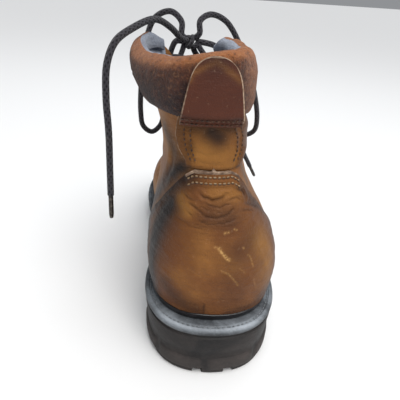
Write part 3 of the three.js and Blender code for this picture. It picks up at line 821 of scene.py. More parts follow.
def sew(name, seams, finish="thread", pitch=2.8, length=2.1, thickness=0.85):
    """Rows of stitches along seam lines given in millimetres."""
    curve = bpy.data.curves.new(name + "_line", "CURVE")
    curve.dimensions = "3D"
    for seam in seams:
        spline = curve.splines.new("POLY")
        spline.points.add(len(seam) - 1)
        for point, place in zip(spline.points, metres(seam)):
            point.co = (*place, 1)
    line = put(name + "_line", curve)
    modifier = line.modifiers.new("Sewing", "NODES")
    modifier.node_group = bpy.data.node_groups.get("Sewing") or sewing_tree()
    inputs = {item.name: item.identifier for item in modifier.node_group.interface.items_tree
              if item.in_out == "INPUT"}
    for label, value in (("Pitch", pitch * MM), ("Stitch length", length * MM), ("Thickness", thickness * MM),
                         ("Thread", finish_of(finish))):
        modifier[inputs[label]] = value
    bpy.context.view_layer.update()
    graph = bpy.context.evaluated_depsgraph_get()
    piece = put(name, bpy.data.meshes.new_from_object(line.evaluated_get(graph)))
    bpy.data.objects.remove(line)
    return piece


# ---- Where things are on the boot, in the net's millimetres ----
CAMERA_EYE = (-30.8, -202.3, 225.0)
CAMERA_AIM = (-13.0, 12.0, 119.5)
CAMERA_SIDEWAYS = (0.9976, 0.0698, 0.0)
CAMERA_LENS = 38.8

# Free lace, as listed routes: the two bow loops and the two ends.
BOW_OUTER = [
    [-12, 124, 196], [-12, 127, 204], [-4, 133, 208.5], [8, 137, 204], [21, 139, 186], [33, 142, 160],
    [41, 147, 132], [41, 153, 118], [34, 157, 113], [27, 157, 119], [25, 151, 141], [16, 141, 168],
    [3, 132, 186], [-9, 126, 190],
]
BOW_INNER = [
    [-24.5, 123, 194.5], [-25, 126, 203], [-33, 131, 209], [-44, 135, 204], [-51, 138, 186], [-54, 141, 160],
    [-55, 146, 132], [-53, 152, 118], [-46, 156, 112.5], [-39, 156, 119], [-36, 151, 140], [-34, 141, 168],
    [-31, 131, 185], [-28, 127, 190],
]
END_OUTER = [
    [-14, 131, 182], [-6, 142, 172], [7, 156, 151], [17, 166, 130], [29, 176, 108], [39, 184, 88],
    [49, 193, 70],
]
END_INNER = [
    [-25, 116, 193], [-32, 106, 200], [-42, 88, 206], [-54, 68, 202], [-63, 54, 195], [-67, 49, 184],
    [-68, 48, 166], [-67, 47, 145], [-67, 47, 122], [-67, 47, 104],
]
KNOT = np.array([-18, 125.5, 190])
AGLET = 16
TUCK = 0.45    # share of the way from the knot's middle at which a cord starts


def counter_top(s):
    side = np.abs(s)
    fall = smooth(0.62, COUNTER_REACH, side)
    share = 0.35 * np.minimum(1, np.maximum(0, side - 0.62) / 3) + 0.65 * fall
    return reach(s, COUNTER_TOP - (COUNTER_TOP - 58) * share)


def eyelet_places():
    """Places of the eyelets: [outer, inner] of each row from the top, as point, normal and station."""
    places = []
    for t in np.linspace(0, 1, EYELET_ROWS):
        for side in (1, -1):
            outer = EYELETS_TOP + (EYELETS_BASE - EYELETS_TOP) * t
            s = outer if side > 0 else STATIONS - outer
            along = last(s + 0.05, 1) - last(s - 0.05, 1)
            inward = np.cross(outward(s, 0.98), along / np.linalg.norm(along))
            inward *= -EYELET_INSET / np.linalg.norm(inward)
            aim = last(s, 1) - inward if inward[2] > 0 else last(s, 1) + inward
            places.append(nearest(aim, s) + (side,))
    return places


def nearest(aim, start):
    best_s, best_v, gap = start, 0.9, 1e9
    for step in (0.1, 0.02, 0.004):
        near = np.arange(-8, 9) * step
        s, v = np.meshgrid(best_s + near, best_v + near * 0.4, indexing="ij")
        v = np.clip(v, 0.4, 1)
        away = np.linalg.norm(last(s, v) - aim, axis=-1)
        k = np.unravel_index(np.argmin(away), away.shape)
        if away[k] < gap:
            best_s, best_v, gap = s[k], v[k], away[k]
    return last(best_s, best_v), outward(best_s, best_v), best_s


# ---- Settings, operators and the panel ----
class BootSettings(bpy.types.PropertyGroup):
    """Sizes and colours a user may change."""

    lace: bpy.props.FloatProperty(
        name="Lace", description="Diameter of the lace", default=LACE * MM, unit="LENGTH")
    fill: bpy.props.FloatProperty(
        name="Collar fill", description="How full the collar padding is", default=0.7, min=0, max=1,
        subtype="FACTOR")
    floor: bpy.props.FloatVectorProperty(
        name="Floor", description="Colour of the floor", default=(0.86, 0.86, 0.86), subtype="COLOR")


class BOOT_OT_stage(bpy.types.Operator):
    """Floor, soft lights and the camera"""

    bl_idname = "boot.stage"
    bl_label = "Stage"

    def execute(self, context):
        scene = context.scene
        scene.view_settings.view_transform = "Standard"
        scene.world = bpy.data.worlds.new("soft room")
        scene.world.use_nodes = True
        room = scene.world.node_tree.nodes["Background"]
        room.inputs["Color"].default_value = (0.93, 0.96, 1.0, 1)
        room.inputs["Strength"].default_value = 0.3
        self.floor(scene)
        self.light("key", (0.25, -0.85, 1.1), 0.6, 6.5, (1.0, 0.97, 0.93))
        self.light("sky", (0.1, 0.3, 1.3), 0.9, 4.5, (0.93, 0.97, 1.0))
        self.even_light()
        self.camera(scene)
        return {"FINISHED"}

    def floor(self, scene):
        half = 14.0
        corners = [(-half, -half, 0), (half, -half, 0), (half, half, 0), (-half, half, 0)]
        mesh = bpy.data.meshes.new("floor")
        mesh.from_pydata(corners, [], [(0, 1, 2, 3)])
        mesh.materials.append(Finish("pale floor").finish((*scene.boot.floor, 1), 0.9))
        put("floor", mesh)

    def light(self, name, place, size, power, colour):
        lamp = bpy.data.lights.new(name, "AREA")
        lamp.size, lamp.energy, lamp.color = size, power, colour
        thing = put(name, lamp)
        thing.location = place
        thing.rotation_euler = (Vector((0, -0.1, 0.1)) - Vector(place)).to_track_quat("-Z", "Y").to_euler()

    def even_light(self):
        """A wide light that keeps the floor pale into the distance."""
        lamp = bpy.data.lights.new("even light", "SUN")
        lamp.energy, lamp.angle = 2.0, math.radians(60)
        put("even light", lamp).rotation_euler = Vector((-0.25, 0.45, -1)).to_track_quat("-Z", "Y").to_euler()

    def camera(self, scene):
        data = bpy.data.cameras.new("camera")
        data.sensor_width, data.lens, data.clip_start = 36, CAMERA_LENS, 0.01
        eye, aim = Vector(metres(CAMERA_EYE)), Vector(metres(CAMERA_AIM))
        back = (eye - aim).normalized()
        sideways = Vector(CAMERA_SIDEWAYS)
        sideways = (sideways - back * sideways.dot(back)).normalized()
        turn = Matrix((sideways, back.cross(sideways), back)).transposed().to_4x4()
        scene.camera = put("camera", data)
        scene.camera.matrix_world = Matrix.Translation(eye) @ turn


class BOOT_OT_laces(bpy.types.Operator):
    """Bow, knot, free ends and the crossings through the eyelets"""

    bl_idname = "boot.laces"
    bl_label = "Laces"

    def execute(self, context):
        thick = context.scene.boot.lace / MM
        self.free("bow_loop_outer", BOW_OUTER, thick, "object", [self.knot(thick)])
        self.free("bow_loop_inner", BOW_INNER, thick, "object", [])
        tips = [self.aglet("aglet_outer", END_OUTER), self.aglet("aglet_inner", END_INNER)]
        self.free("lace_end_outer", END_OUTER, thick, "bare", tips[:1])
        self.free("lace_end_inner", END_INNER, thick, "bare", tips[1:])
        self.crossings(thick)
        return {"FINISHED"}

    def free(self, name, route, thick, far_end, tips):
        tucked = [list(KNOT + (np.array(route[0]) - KNOT) * TUCK), *route]
        if far_end == "object":
            tucked.append(list(KNOT + (np.array(route[-1]) - KNOT) * TUCK))
        path, fine = curve_through(tucked, 40), curve_through(tucked, 157)
        piece = settle(tube(name + "_cord", fine, thick / 2), "lace", name)

    def aglet(self, name, route):
        tip, before = np.array(route[-1], float), np.array(route[-2], float)
        along = unit(tip - before)
        path = [tip + along * (0.3 + AGLET * share) for share in np.linspace(0, 1, 12)]
        piece = tube(name + "_tip", path, 1.55, "metal", 16, lambda share: 1 - 0.25 * smooth(0.85, 1, share))
        return settle(piece, "aglet", name)

    def knot(self, thick):
        """The bow's knot: the lace wraps twice over itself."""
        turns = np.linspace(0, 2 * math.pi, 160)
        wrap = np.stack([4.1 * np.cos(turns) + 1.2 * np.cos(3 * turns), 1.7 * np.sin(2 * turns),
                         3.4 * np.sin(turns) + 0.9 * np.sin(3 * turns)], 1)
        band = np.stack([1.5 * np.sin(turns), 3.4 * np.cos(turns), 3.4 * np.sin(turns + 0.4)], 1)
        parts = [tube("knot_part", KNOT + turn, thick * 0.4, sides=12) for turn in (wrap, band)]
        return settle(joined("lace_knot_wraps", parts), "lace", "lace_knot")

    def crossings(self, thick):
        places = eyelet_places()
        strands = [self.strand(places[-2], places[-1], thick)]
        for row in range(EYELET_ROWS - 1):
            outer_top, inner_top, outer_base, inner_base = places[2 * row:2 * row + 4]
            strands.append(self.strand(outer_top, inner_base, thick))
            strands.append(self.strand(inner_top, outer_base, thick, 2.6))
        strands += [self.to_knot(place, thick) for place in places[:2]]
        settle(joined("laces_through_eyelets", strands), "lace", "lace_crossings")

    def strand(self, a, b, thick, rise=1.2):
        """Lace out of one eyelet, over both edges of the throat and down into the other."""
        def over(start, end):
            near, far = (station if side > 0 else STATIONS - station for _, _, station, side in (start, end))
            s = near + (far - near) * 0.3
            return raised(s if start[3] > 0 else STATIONS - s, 1.0, thick / 2 + 0.9)

        def out_of(place, edge):
            at, normal = place[:2]
            return [at - normal * 2.6, at + normal * 1.6, at + normal * 3.4 + (edge - at) * 0.2, edge]

        edges = [over(a, b), over(b, a)]
        middle = (edges[0] + edges[1]) / 2 + unit(a[1] + b[1]) * rise
        route = [*out_of(a, edges[0]), middle, *out_of(b, edges[1])[::-1]]
        return tube("strand", curve_through(route, 60), thick * 0.47, sides=14)

    def to_knot(self, place, thick):
        at, normal, _, side = place
        lift = at + normal * 4.2
        route = [at - normal * 2.6, at + normal * 1.6, lift + (KNOT - lift) * 0.15,
                 lift + (KNOT - lift) * 0.6 + np.array([0, 2.5, 0]), KNOT + np.array([4 * side, 0, 0])]
        return tube("strand", curve_through(route, 50), thick * 0.47, sides=14)


class BOOT_OT_sole(bpy.types.Operator):
    """Outsole with its block heel and lugs, welt, rand and insole"""

    bl_idname = "boot.sole"
    bl_label = "Sole"

    def execute(self, context):
        self.outsole()
        self.welt()
        self.rand()
        self.insole()
        return {"FINISHED"}

    def plate(self, name, rings, finish, per_station):
        """Solid of stacked rings [inset, level of y]."""
        s = np.arange(STATIONS * per_station) / per_station
        flats = [(rim(s, inset), level) for inset, level in rings]
        loops = [np.column_stack([flat, level(flat[:, 1])]) for flat, level in flats]
        return stacked(name, loops, finish, 38)

    def outsole(self):
        def top(y):
            return welt_level(y) - WELT_THICKNESS - 0.3

        def below(drop):
            return lambda y: top(y) - drop

        def share(t):
            return lambda y: top(y) * t + tread_level(y) * (1 - t)

        # two raised pads at the back of the heel block, and one more on each side
        per_station = 20
        turn = np.arange(STATIONS * per_station) / per_station
        turn = np.where(turn > SIDE, turn - STATIONS, turn) + 0.13
        pads = 1 - smooth(0.54, 0.6, np.abs(turn % 1.3 - 0.65))
        pads *= 1 - smooth(2.55, 2.6, np.abs(turn))
        rings = [(9, top), (1.7, top), (1.7, below(1.6)), (0.9, below(2.4)), (0.7, below(4.4)),
                 (1.5, below(5)), (1.5, share(0.7)), (1.6, share(0.58)), (2.3, share(0.54)),
                 (2.3, share(0.4)),
                 (2.3 - 1.1 * pads, share(0.36)), (2.3 - 1.3 * pads, share(0.3)),
                 (2.3 - 1.2 * pads, share(0.18)), (2.3 - 0.9 * pads, share(0.13)), (2.4, share(0.1)),
                 (2.6, lambda y: tread_level(y) + 0.9), (3.8, tread_level), (9, tread_level)]
        piece = self.plate("outsole_rubber", rings, "outsole", per_station)
        cutters = self.cutters()
        cut = piece.modifiers.new("Channels", "BOOLEAN")
        cut.operation, cut.object, cut.solver = "DIFFERENCE", cutters, "EXACT"
        graph = bpy.context.evaluated_depsgraph_get()
        mesh = bpy.data.meshes.new_from_object(piece.evaluated_get(graph))
        piece.modifiers.clear()
        piece.data = mesh
        bpy.data.objects.remove(cutters)
        soften(mesh, 38)
        self.dust(piece, mesh)
        settle(piece, "outsole", "outsole")

    def dust(self, piece, mesh):
        """Dust on the ledges, the pads and next to the ground."""
        points = np.array([v.co for v in mesh.vertices])
        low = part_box("outsole")[0][2]
        ledge = np.array([v.normal[2] for v in mesh.vertices]) * (points[:, 2] < low + 0.03)
        edge = rim(np.linspace(0, STATIONS, 900))
        flat = (points - PLACE)[:, :2] / MM
        inset = np.array([np.hypot(*(edge - p).T).min() for p in flat])
        up = (points[:, 2] - low) / MM
        pad = (1 - smooth(1.5, 2.1, inset)) * smooth(3.4, 4.4, up) * (1 - smooth(11.5, 12.5, up))
        pad *= flat[:, 1] < HEEL_BREAST - 2
        paint(piece, dust=0.25 * np.exp(-(up / 3) ** 2) + 0.6 * np.clip(ledge, 0, 1) + 0.5 * pad)

    def cutters(self):
        """The tread's channels, as [x, y, width, length, turn, depth]."""
        quarter = math.pi / 2
        slots = [(side * 34, y, 6, 30, -0.6 * side if y < 30 else 0, 5)
                 for y in (24, 46, 66) for side in (1, -1)]
        slots += [(-9, 2, 6, 24, quarter + 0.2, 5), (12, 2, 6, 24, quarter - 0.2, 5), (0, 40, 30, 26, 0, 4)]
        slots += [(side * 44, y, 6, 34, 0.18 * side, 5) for y in range(164, 264, 20) for side in (1, -1)]
        slots += [(side * 44, 263, 6, 34, 0.18 * side, 5) for side in (1, -1)]
        slots += [(1, y, 5, 34, 0, 4) for y in range(174, 263, 22)]
        slots += [(-22, 290, 6, 30, quarter + 0.3, 5), (10, 290, 6, 30, quarter - 0.35, 5)]
        work = bmesh.new()
        for x, y, width, length, turn, depth in slots:
            place = Matrix.Translation(metres((x, y, float(tread_level(y))))) @ Matrix.Rotation(turn, 4, "Z")
            size = Matrix.Diagonal((length * MM, width * MM, 2 * depth * MM, 1))
            bmesh.ops.create_cube(work, size=1, matrix=place @ size)
        mesh = bpy.data.meshes.new("channels")
        work.to_mesh(mesh)
        work.free()
        return put("channels", mesh)

    def welt(self):
        def under(y):
            return welt_level(y) - WELT_THICKNESS

        def over(drop):
            return lambda y: welt_level(y) - drop

        rings = [(16, over(0.1)), (7, over(0.1)), (6, over(0)), (5.2, over(0)), (4.6, over(0.55)),
                 (3.4, over(0.55)), (2.8, over(0)), (1.5, over(0)), (0.6, over(0.35)), (0.1, over(1.2)),
                 (0, over(2)), (0.1, over(3)), (0.7, over(3.9)), (1.5, under), (8, under)]
        per_station = 14
        piece = self.plate("welt_rim", rings, "welt", per_station)
        x, y = ((np.array([v.co[k] for v in piece.data.vertices]) - PLACE[k]) / MM for k in range(2))
        centre = np.exp(-((x + 2) / 34) ** 4) * (1 - smooth(26, 60, y))
        film = (0, 0.25, 0.3, 0.4, 0.55, 0.8, 1, 1, 0.6, 0.25, 0.1, 0, 0, 0, 0)
        profile = np.repeat(film, STATIONS * per_station)
        paint(piece, dust=profile * (0.1 + 0.9 * centre))
        settle(piece, "welt", "welt")
        line = rim(np.linspace(0, STATIONS, 900), 4.0)
        seam = np.column_stack([line, welt_level(line[:, 1]) - 0.2])
        settle(sew("welt_stitches", [seam], "dusty", 3.2, 2.3, 0.9), "welt")

    def rand(self):
        s = np.arange(STATIONS * 12) / 12
        low, high = seat(s, 0.35), seat(s, RAND_TOP)
        rows = np.linspace(0, 1, 7)
        v = low[:, None] + (high - low)[:, None] * rows
        level = sideways(s[:, None], v)
        base = last(s[:, None], v)
        belly = 0.35 + 2.05 * np.sqrt(np.clip(1 - (2 * rows - 1) ** 6, 0.05, 1))
        out = base + level * belly[None, :, None]
        piece = shell("rand_strip", out, base + level * 0.3, ["rand"], ring=True, rim_slot=lambda i, k: 0)
        settle(piece, "rand", "rand")

    def insole(self):
        s = np.arange(STATIONS * 8) / 8
        v = seat(s, 2)
        level = sideways(s, v)
        edge = last(s, v)

        def loop(distance, lift):
            p = edge - level * (WALL + 1 + distance)
            p[:, 2] = welt_level(p[:, 1]) + lift
            return p

        loops = [loop(10, 4.0), loop(3, 4.6), loop(0.6, 4.3), loop(0, 3.4), loop(0, 1.4), loop(1, 0.4)]
        settle(stacked("foot_bed", loops, "insole"), "insole", "insole")


class BOOT_OT_upper(bpy.types.Operator):
    """Hollow upper with its creases, seams, lining and facings"""

    bl_idname = "boot.upper"
    bl_label = "Upper"

    def execute(self, context):
        s = np.arange(STATIONS * 14) / 14
        rows = np.linspace(0, 1, 92)
        low = seat(s, 0.3)
        v = low[:, None] + (1 - low)[:, None] * rows
        base, normal = last(s[:, None], v), outward(s[:, None], v)
        height, depth = crease(base, UPPER_FOLDS)
        height += 0.35 * ripple(base, 26, 5)
        step = self.quarter(base)
        flare = 1 - smooth(0.97, 1.0, v) * 0.35
        out = base + normal * ((height + 0.9 * step) * flare)[..., None]
        back = base - normal * WALL
        facing = [bool(4.75 < min(t, STATIONS - t) < 8.6) for t in s]
        piece = shell("upper_leather", out, back, ["leather", "fleece", "edge"], ring=True,
                      back_slot=lambda i, k: 0 if facing[i] and rows[k] > 0.86 else 1,
                      rim_slot=lambda i, k: 2)
        # painted shade along the edge where the quarter laps the vamp, joined to the painted shade in the
        # creases
        seam = np.exp(-(self.quarter_distance(base) / 0.9) ** 2)
        paint(piece, 0.25, stain=blot(base, UPPER_STAINS_AND_SHEEN), fold=np.maximum(depth, 0.6 * seam),
              rub=blot(base, UPPER_RUBS), scuff=blot(base, UPPER_SCUFFS))
        settle(piece, "upper", "upper")
        self.seams()
        return {"FINISHED"}

    def quarter_distance(self, p):
        """Signed distance in front of the line where the quarters lap over the vamp."""
        up = np.clip(p[..., 2] - 30, 0, 90)
        return p[..., 1] - (118 + 0.62 * up + 0.0035 * up ** 2)

    def quarter(self, p):
        return 1 - smooth(-0.8, 0.8, self.quarter_distance(p))

    def seams(self):
        rows = [self.quarter_seam(inset, side) for inset in (-2.6, -5.2) for side in (1, -1)]
        rows += [self.throat_seam(distance, side) for distance in (2.6, 5.0) for side in (1, -1)]
        settle(sew("upper_stitches", rows, "thread", 2.7, 2.0, 0.75), "upper")

    def quarter_seam(self, inset, side):
        """Line beside the edge of the quarters, found column by column."""
        s = np.linspace(4.6, 8.3, 260)
        s = s if side > 0 else STATIONS - s
        v = np.linspace(0.02, 0.995, 260)
        away = np.abs(self.quarter_distance(last(s[:, None], v)) - inset)
        k = np.argmin(away, axis=1)
        good = away[np.arange(len(s)), k] < 1
        line = raised(s[good], v[k[good]], 1.25)
        return line[np.argsort(line[:, 2])][::3]

    def throat_seam(self, distance, side):
        s = np.linspace(5.0, 8.35, 150)
        s = s if side > 0 else STATIONS - s
        edge = last(s, 1.0)
        inward = unit(np.cross(outward(s, 0.98), np.gradient(edge, axis=0)))
        inward *= np.where(inward[:, 2:] > 0, -1, 1)
        return edge + inward * distance + outward(s, 0.97) * 1.05


class BOOT_OT_heel(bpy.types.Operator):
    """Heel counter and backstay with their stitching"""

    bl_idname = "boot.heel"
    bl_label = "Heel counter and backstay"

    def execute(self, context):
        self.counter()
        self.backstay()
        return {"FINISHED"}

    def counter(self):
        even = np.linspace(-1, 1, 330)
        s = COUNTER_REACH * np.sign(even) * np.abs(even) ** 1.3
        low, high = seat(s, RAND_TOP + 0.8), counter_top(s)
        bump = 1.8 * np.exp(-((s - 0.02) / 0.05) ** 2)
        rows = 1 - (1 - np.linspace(0, 1, 146)) ** 1.25
        v = low[:, None] + (high + bump / SKIN_HEIGHT - low)[:, None] * rows
        base, normal = last(s[:, None], v), outward(s[:, None], v)
        skin = base + normal * 2.1
        height, depth = crease(skin, HEEL_FOLDS)
        height += 0.3 * ripple(base, 22, 11) + 0.14 * ripple(base, 7, 12, 2)
        drop = (high[:, None] - v) * SKIN_HEIGHT
        central = 1 - smooth(0.86, 1.0, np.abs(s - 0.02))[:, None]
        band = central * (0.55 * (1 - smooth(7.6, 9.2, drop)) - 0.45 * np.exp(-((drop - 9.6) / 1.1) ** 2))
        lip = central * (0.75 * np.exp(-((drop - 0.4) / 0.8) ** 2) - 0.3 * np.exp(-((drop - 2.0) / 0.6) ** 2))
        out = base + normal * (2.1 + height + band + lip)[..., None]
        back = base + normal * 0.5
        pale = (drop < 1.9) & (central > 0.3)
        piece = shell("heel_counter_leather", out, back, ["counter", "edge"],
                      slot=lambda i, k: int(pale[i, k]), rim_slot=lambda i, k: int(central[i, 0] > 0.3))
        edge_line = (1 - central) * np.exp(-(drop / 1.1) ** 2)
        # the crease mark is painted shade in the creases and the crack, with a dark line along the counter's
        # top edge on the sides
        paint(piece, 1, stain=blot(skin, HEEL_STAINS), rub=blot(skin, HEEL_RUBS_AND_LIGHT),
              scuff=blot(skin, HEEL_SCUFFS),
              fold=np.maximum(np.maximum(depth, blot(skin, HEEL_CRACKS)), edge_line))
        settle(piece, "counter", "heel_counter")
        self.counter_seams()

    def counter_seams(self):
        light, shade = [], []
        for drop in (3.1, 6.6):
            s = np.linspace(-0.8, 0.86, 60)
            v = counter_top(s) - drop / SKIN_HEIGHT
            light.append(raised(s, v, 2.95))
            shade.append(raised(s, v - 0.55 / SKIN_HEIGHT, 2.7))
        settle(sew("counter_stitches", light, "cream", 2.5, 1.7, 0.95), "counter")
        settle(sew("counter_stitch_holes", shade, "thread", 2.5, 2.2, 1.0), "counter")

    def backstay(self):
        rows = np.linspace(0, 1, 84)
        even = np.linspace(-1, 1, 90)
        across = np.sign(even) * (1 - (1 - np.abs(even)) ** 1.2)
        s, v = self.wing(across[:, None], rows[None, :])
        base, normal = last(s, v), outward(s, v)
        skin = base + normal * 2
        height, depth = crease(skin, BACKSTAY_FOLDS)
        height += 0.15 * ripple(base, 12, 31, 2)
        outer_part = smooth(0.72, 1.0, np.abs(across))[:, None]
        sides = np.where(even > 0, 2.6, 1.2)[:, None]
        curl = sides * outer_part * np.sin(np.pi * rows)[None, :] ** 0.8
        groove = -0.35 * np.exp(-((np.abs(across) - 0.74) / 0.05) ** 2)[:, None]
        out = base + normal * (2.0 + height + curl + groove)[..., None]
        back = base + normal * (0.5 + curl * 0.95)[..., None]
        piece = shell("backstay_leather", out, back, ["backstay", "edge"],
                      slot=lambda i, k: int(i < 1 or i > len(across) - 3))
        # darker along the outer margins and along the foot; the marks listed below add painted shade under
        # the tab
        darker = 0.55 * smooth(0.74, 0.84, np.abs(across))[:, None] + 0.5 * (1 - smooth(0, 0.06, rows))
        paint(piece, 1, stain=np.maximum(blot(skin, BACKSTAY_SHADE_AND_STAINS), darker * 0.6), fold=depth,
              rub=blot(skin, BACKSTAY_RUBS) * (1 - outer_part), scuff=np.zeros(base.shape[:-1]))
        settle(piece, "backstay", "backstay")
        seams = []
        for place in (-0.80, -0.66, 0.66, 0.80):
            t = np.linspace(0.16, 0.95, 40)
            lean = place * (1.0 if abs(place) > 0.7 else 1.0 - 0.06 * t)
            line_s, line_v = self.wing(lean, t)
            seams.append(raised(line_s, line_v, 2.45))
        settle(sew("backstay_stitches", seams, "thread", 2.5, 1.8, 0.85), "backstay")

    def wing(self, across, up):
        """Station and height for a share across and up the backstay: narrow at the foot, flared above it."""
        level = COUNTER_TOP + 1 + (COLLAR_BASE + 1.5 - COUNTER_TOP - 1) * up
        levels = (136, 141, 147, 154, 160, 168)
        left = np.interp(level, levels, (-20.0, -20.8, -24.0, -25.6, -25.6, -25.0))
        right = np.interp(level, levels, (7.0, 8.0, 10.6, 10.6, 8.4, 6.6))
        x = (left + right) / 2 + (right - left) / 2 * across
        s, v = station_at(x, level)
        return s, np.maximum(v, counter_top(s) + 0.004)


class BOOT_OT_collar(bpy.types.Operator):
    """Padded suede collar and the pull tab over it"""

    bl_idname = "boot.collar"
    bl_label = "Collar and pull tab"

    def execute(self, context):
        self.padding()
        self.tab()
        return {"FINISHED"}

    def padding(self):
        front = 4.5
        slot = 0.85
        # distance from the wall, share of the way from the collar's base to the top edge, extra rise
        section = np.array([
            [slot, 0.01, 0], [3.0, 0, -0.4], [5.6, 0.08, 0], [7.2, 0.35, 0], [7.4, 0.65, 0], [6.2, 0.9, 0],
            [3.4, 1, 3.6], [-1, 1, 4.8], [-4.8, 1, 3], [-5.6, 0.97, 0], [-5.2, 0.85, 0],
            [-WALL - slot, 0.8, 0], [-WALL - slot, 1, slot], [slot, 1, slot]])
        loop = np.concatenate([curve_through(section[:12], 44), section[12:]])
        sections = []
        for s in np.linspace(-front, front, 230):
            base = float(reach(s, COLLAR_BASE))
            ends = 1 - 0.6 * float(smooth(front - 0.5, front, abs(s)))
            distance, rise = (np.where(value > slot, slot + (value - slot) * ends, value)
                              for value in (loop[:, 0], loop[:, 2]))
            p = raised(np.full(len(loop), s), base + (1 - base) * np.clip(loop[:, 1], 0, 1), distance)
            p[:, 2] += rise
            sections.append(p)
        grid = np.array(sections)
        centre = grid.mean(1, keepdims=True)
        away = unit(grid - centre)
        puff = 0.55 * ripple(grid, 24, 3) + 0.2 * ripple(grid, 9, 4, 2)
        free = np.ones(len(loop))
        free[-3:] = 0
        free[0] = 0
        grid = grid + away * (puff * free[None, :])[..., None]
        count, size = grid.shape[:2]
        faces = strips(count, size)
        slots = [int(loop[i % size, 0] < -1.5) for i in range(len(faces))] + [0, 0]
        faces += [tuple(i * size + j for j in range(size)) for i in (0, count - 1)]
        piece = mesh_piece("collar_padding", grid.reshape(-1, 3), faces, ["suede", "fleece"], slots, sharp=70)
        level = np.tile(np.clip(loop[:, 1] + loop[:, 2] / 12, 0, 1.6), count)
        points = grid.reshape(-1, 3)
        medial = smooth(-20, -45, points[:, 0])
        side = smooth(2, 12, points[:, 0])
        rub = np.clip(smooth(0.98, 1.34, level) * 0.9 + 0.6 * side + 0.12 * smooth(0.5, 0.9, level), 0, 1)
        # darker towards the foot of the collar, less so on the lateral side
        stain = np.clip((1 - smooth(0.3, 1.05, level)) * 0.95 * (1 - 0.7 * side) + 0.15 * medial, 0, 1)
        paint(piece, rub=rub, stain=stain)
        settle(piece, "suede", "collar")
        base = np.linspace(0.95, front - 0.15, 120)
        seams = [raised(side * base, reach(side * base, COLLAR_BASE - 2.2), 0.7) for side in (1, -1)]
        settle(sew("collar_stitches", seams, "thread", 2.6, 1.9, 0.8), "suede")

    def tab(self):
        rows = 1 - (1 - np.linspace(0, 1, 76)) ** 1.5
        across = np.linspace(-1, 1, 48)
        foot = TAB_BASE - 4.5
        level = foot + rows * (TAB_TOP - foot)
        t = np.clip((level - TAB_BASE) / (TAB_TOP - TAB_BASE), 0, 1)
        half = (TAB_WIDTH / 2 - 5 * t) * np.sqrt(np.clip(1 - t ** 7, 0.0001, 1))
        x = TAB_CENTRE + across[:, None] * half[None, :]
        z = np.broadcast_to(level, x.shape)
        s = (x - TAB_CENTRE) / 24
        v = reach(s, np.minimum(z, SHAFT_TOP - 2))
        lift = 8.9 - 2.0 * smooth(178, 194, z) - 5.6 * (1 - smooth(161, 169, z))
        base = raised(s, v, lift)
        point = np.stack([x, base[..., 1], z], -1)
        normal = outward(s, v)
        swell = 0.5 * ripple(point, 18, 21, 2)
        out = point + normal * (2.0 + swell * 0.4)[..., None]
        back = point + normal * (swell * 0.4)[..., None]
        piece = shell("pull_tab_leather", out, back, ["tab", "edge"],
                      slot=lambda i, k: int(i < 1 or i > len(across) - 3 or rows[k] > 0.985))
        rub = blot(point, [([(-22, 15, 186), (-10, 14, 195), (0, 14, 186)], 1.6, 0.25)])
        stain = blot(point, [([(-9, 8, 196)], 7, 0.3), ([(-22, 12, 166), (4, 12, 166)], 3, 0.3)])
        # painted shade along the fold at the foot of the tab
        fold = blot(point, [([(-26, 10, 167), (4, 10, 167)], 1.0, 0.7)])
        paint(piece, 1, rub=rub, stain=stain, fold=fold, scuff=np.zeros(rub.shape))
        settle(piece, "tab", "pull_tab")
        seams = []
        for z in (162.6, 165.4):
            k = np.argmin(np.abs(level - z))
            seams.append(out[2:-2, k] + normal[2:-2, k] * 0.35)
        settle(sew("tab_stitches", seams, "thread", 2.5, 1.8, 1.0), "tab")


class BOOT_OT_tongue(bpy.types.Operator):
    """Soft tongue under the laces"""

    bl_idname = "boot.tongue"
    bl_label = "Tongue"

    def execute(self, context):
        shares = np.linspace(-0.14, 1.04, 84)
        out, back = [], []
        for b in shares:
            across, face = self.section(b, 40)
            ahead = unit(self.section(b + 0.05, 3)[0][1] - self.section(b - 0.05, 3)[0][1])
            square = unit(np.cross(np.gradient(across, axis=0), ahead))
            out.append(across)
            back.append(across - square * math.copysign(TONGUE, square[20] @ face))
        out, back = np.array(out), np.array(back)
        height, depth = crease(out, TONGUE_FOLDS)
        out = out + (height + 0.2 * ripple(out, 14, 41, 2))[..., None] * np.array([0, 0.6, 0.8])
        piece = shell("tongue_leather", out, back, ["tongue", "fleece", "edge"], back_slot=lambda i, k: 1,
                      rim_slot=lambda i, k: 2)
        none = np.zeros(depth.shape)
        paint(piece, 1, fold=depth, stain=0.2 * smooth(0.2, 1, ripple(out, 30, 42)), rub=none, scuff=none)
        settle(piece, "tongue", "tongue")
        return {"FINISHED"}

    def section(self, b, samples):
        share = min(max(b, 0), 1)
        outer = THROAT_BASE + (THROAT_TOP - THROAT_BASE) * share
        inner = STATIONS - outer
        under = -WALL - 2.6 - 2.4 * (1 - share) - 2.2 * float(smooth(0.8, 1, share))
        tuck = 0.05 + 0.07 * (1 - share)
        one, two, four, five = (raised(s, 1 - tuck * deep, under) for s, deep in (
            (inner, 1.6), (inner, 0.5), (outer, 0.5), (outer, 1.6)))
        face = unit(outward(outer, 0.98) + outward(inner, 0.98))
        rise, dip = max(b - 1, 0) * 100, max(-b, 0) * 100
        points = np.array([one, two, (two + four) / 2 + face * 1.6, four, five])
        return curve_through(points + np.array([0, dip - 0.12 * rise, rise - 0.75 * dip]), samples), face


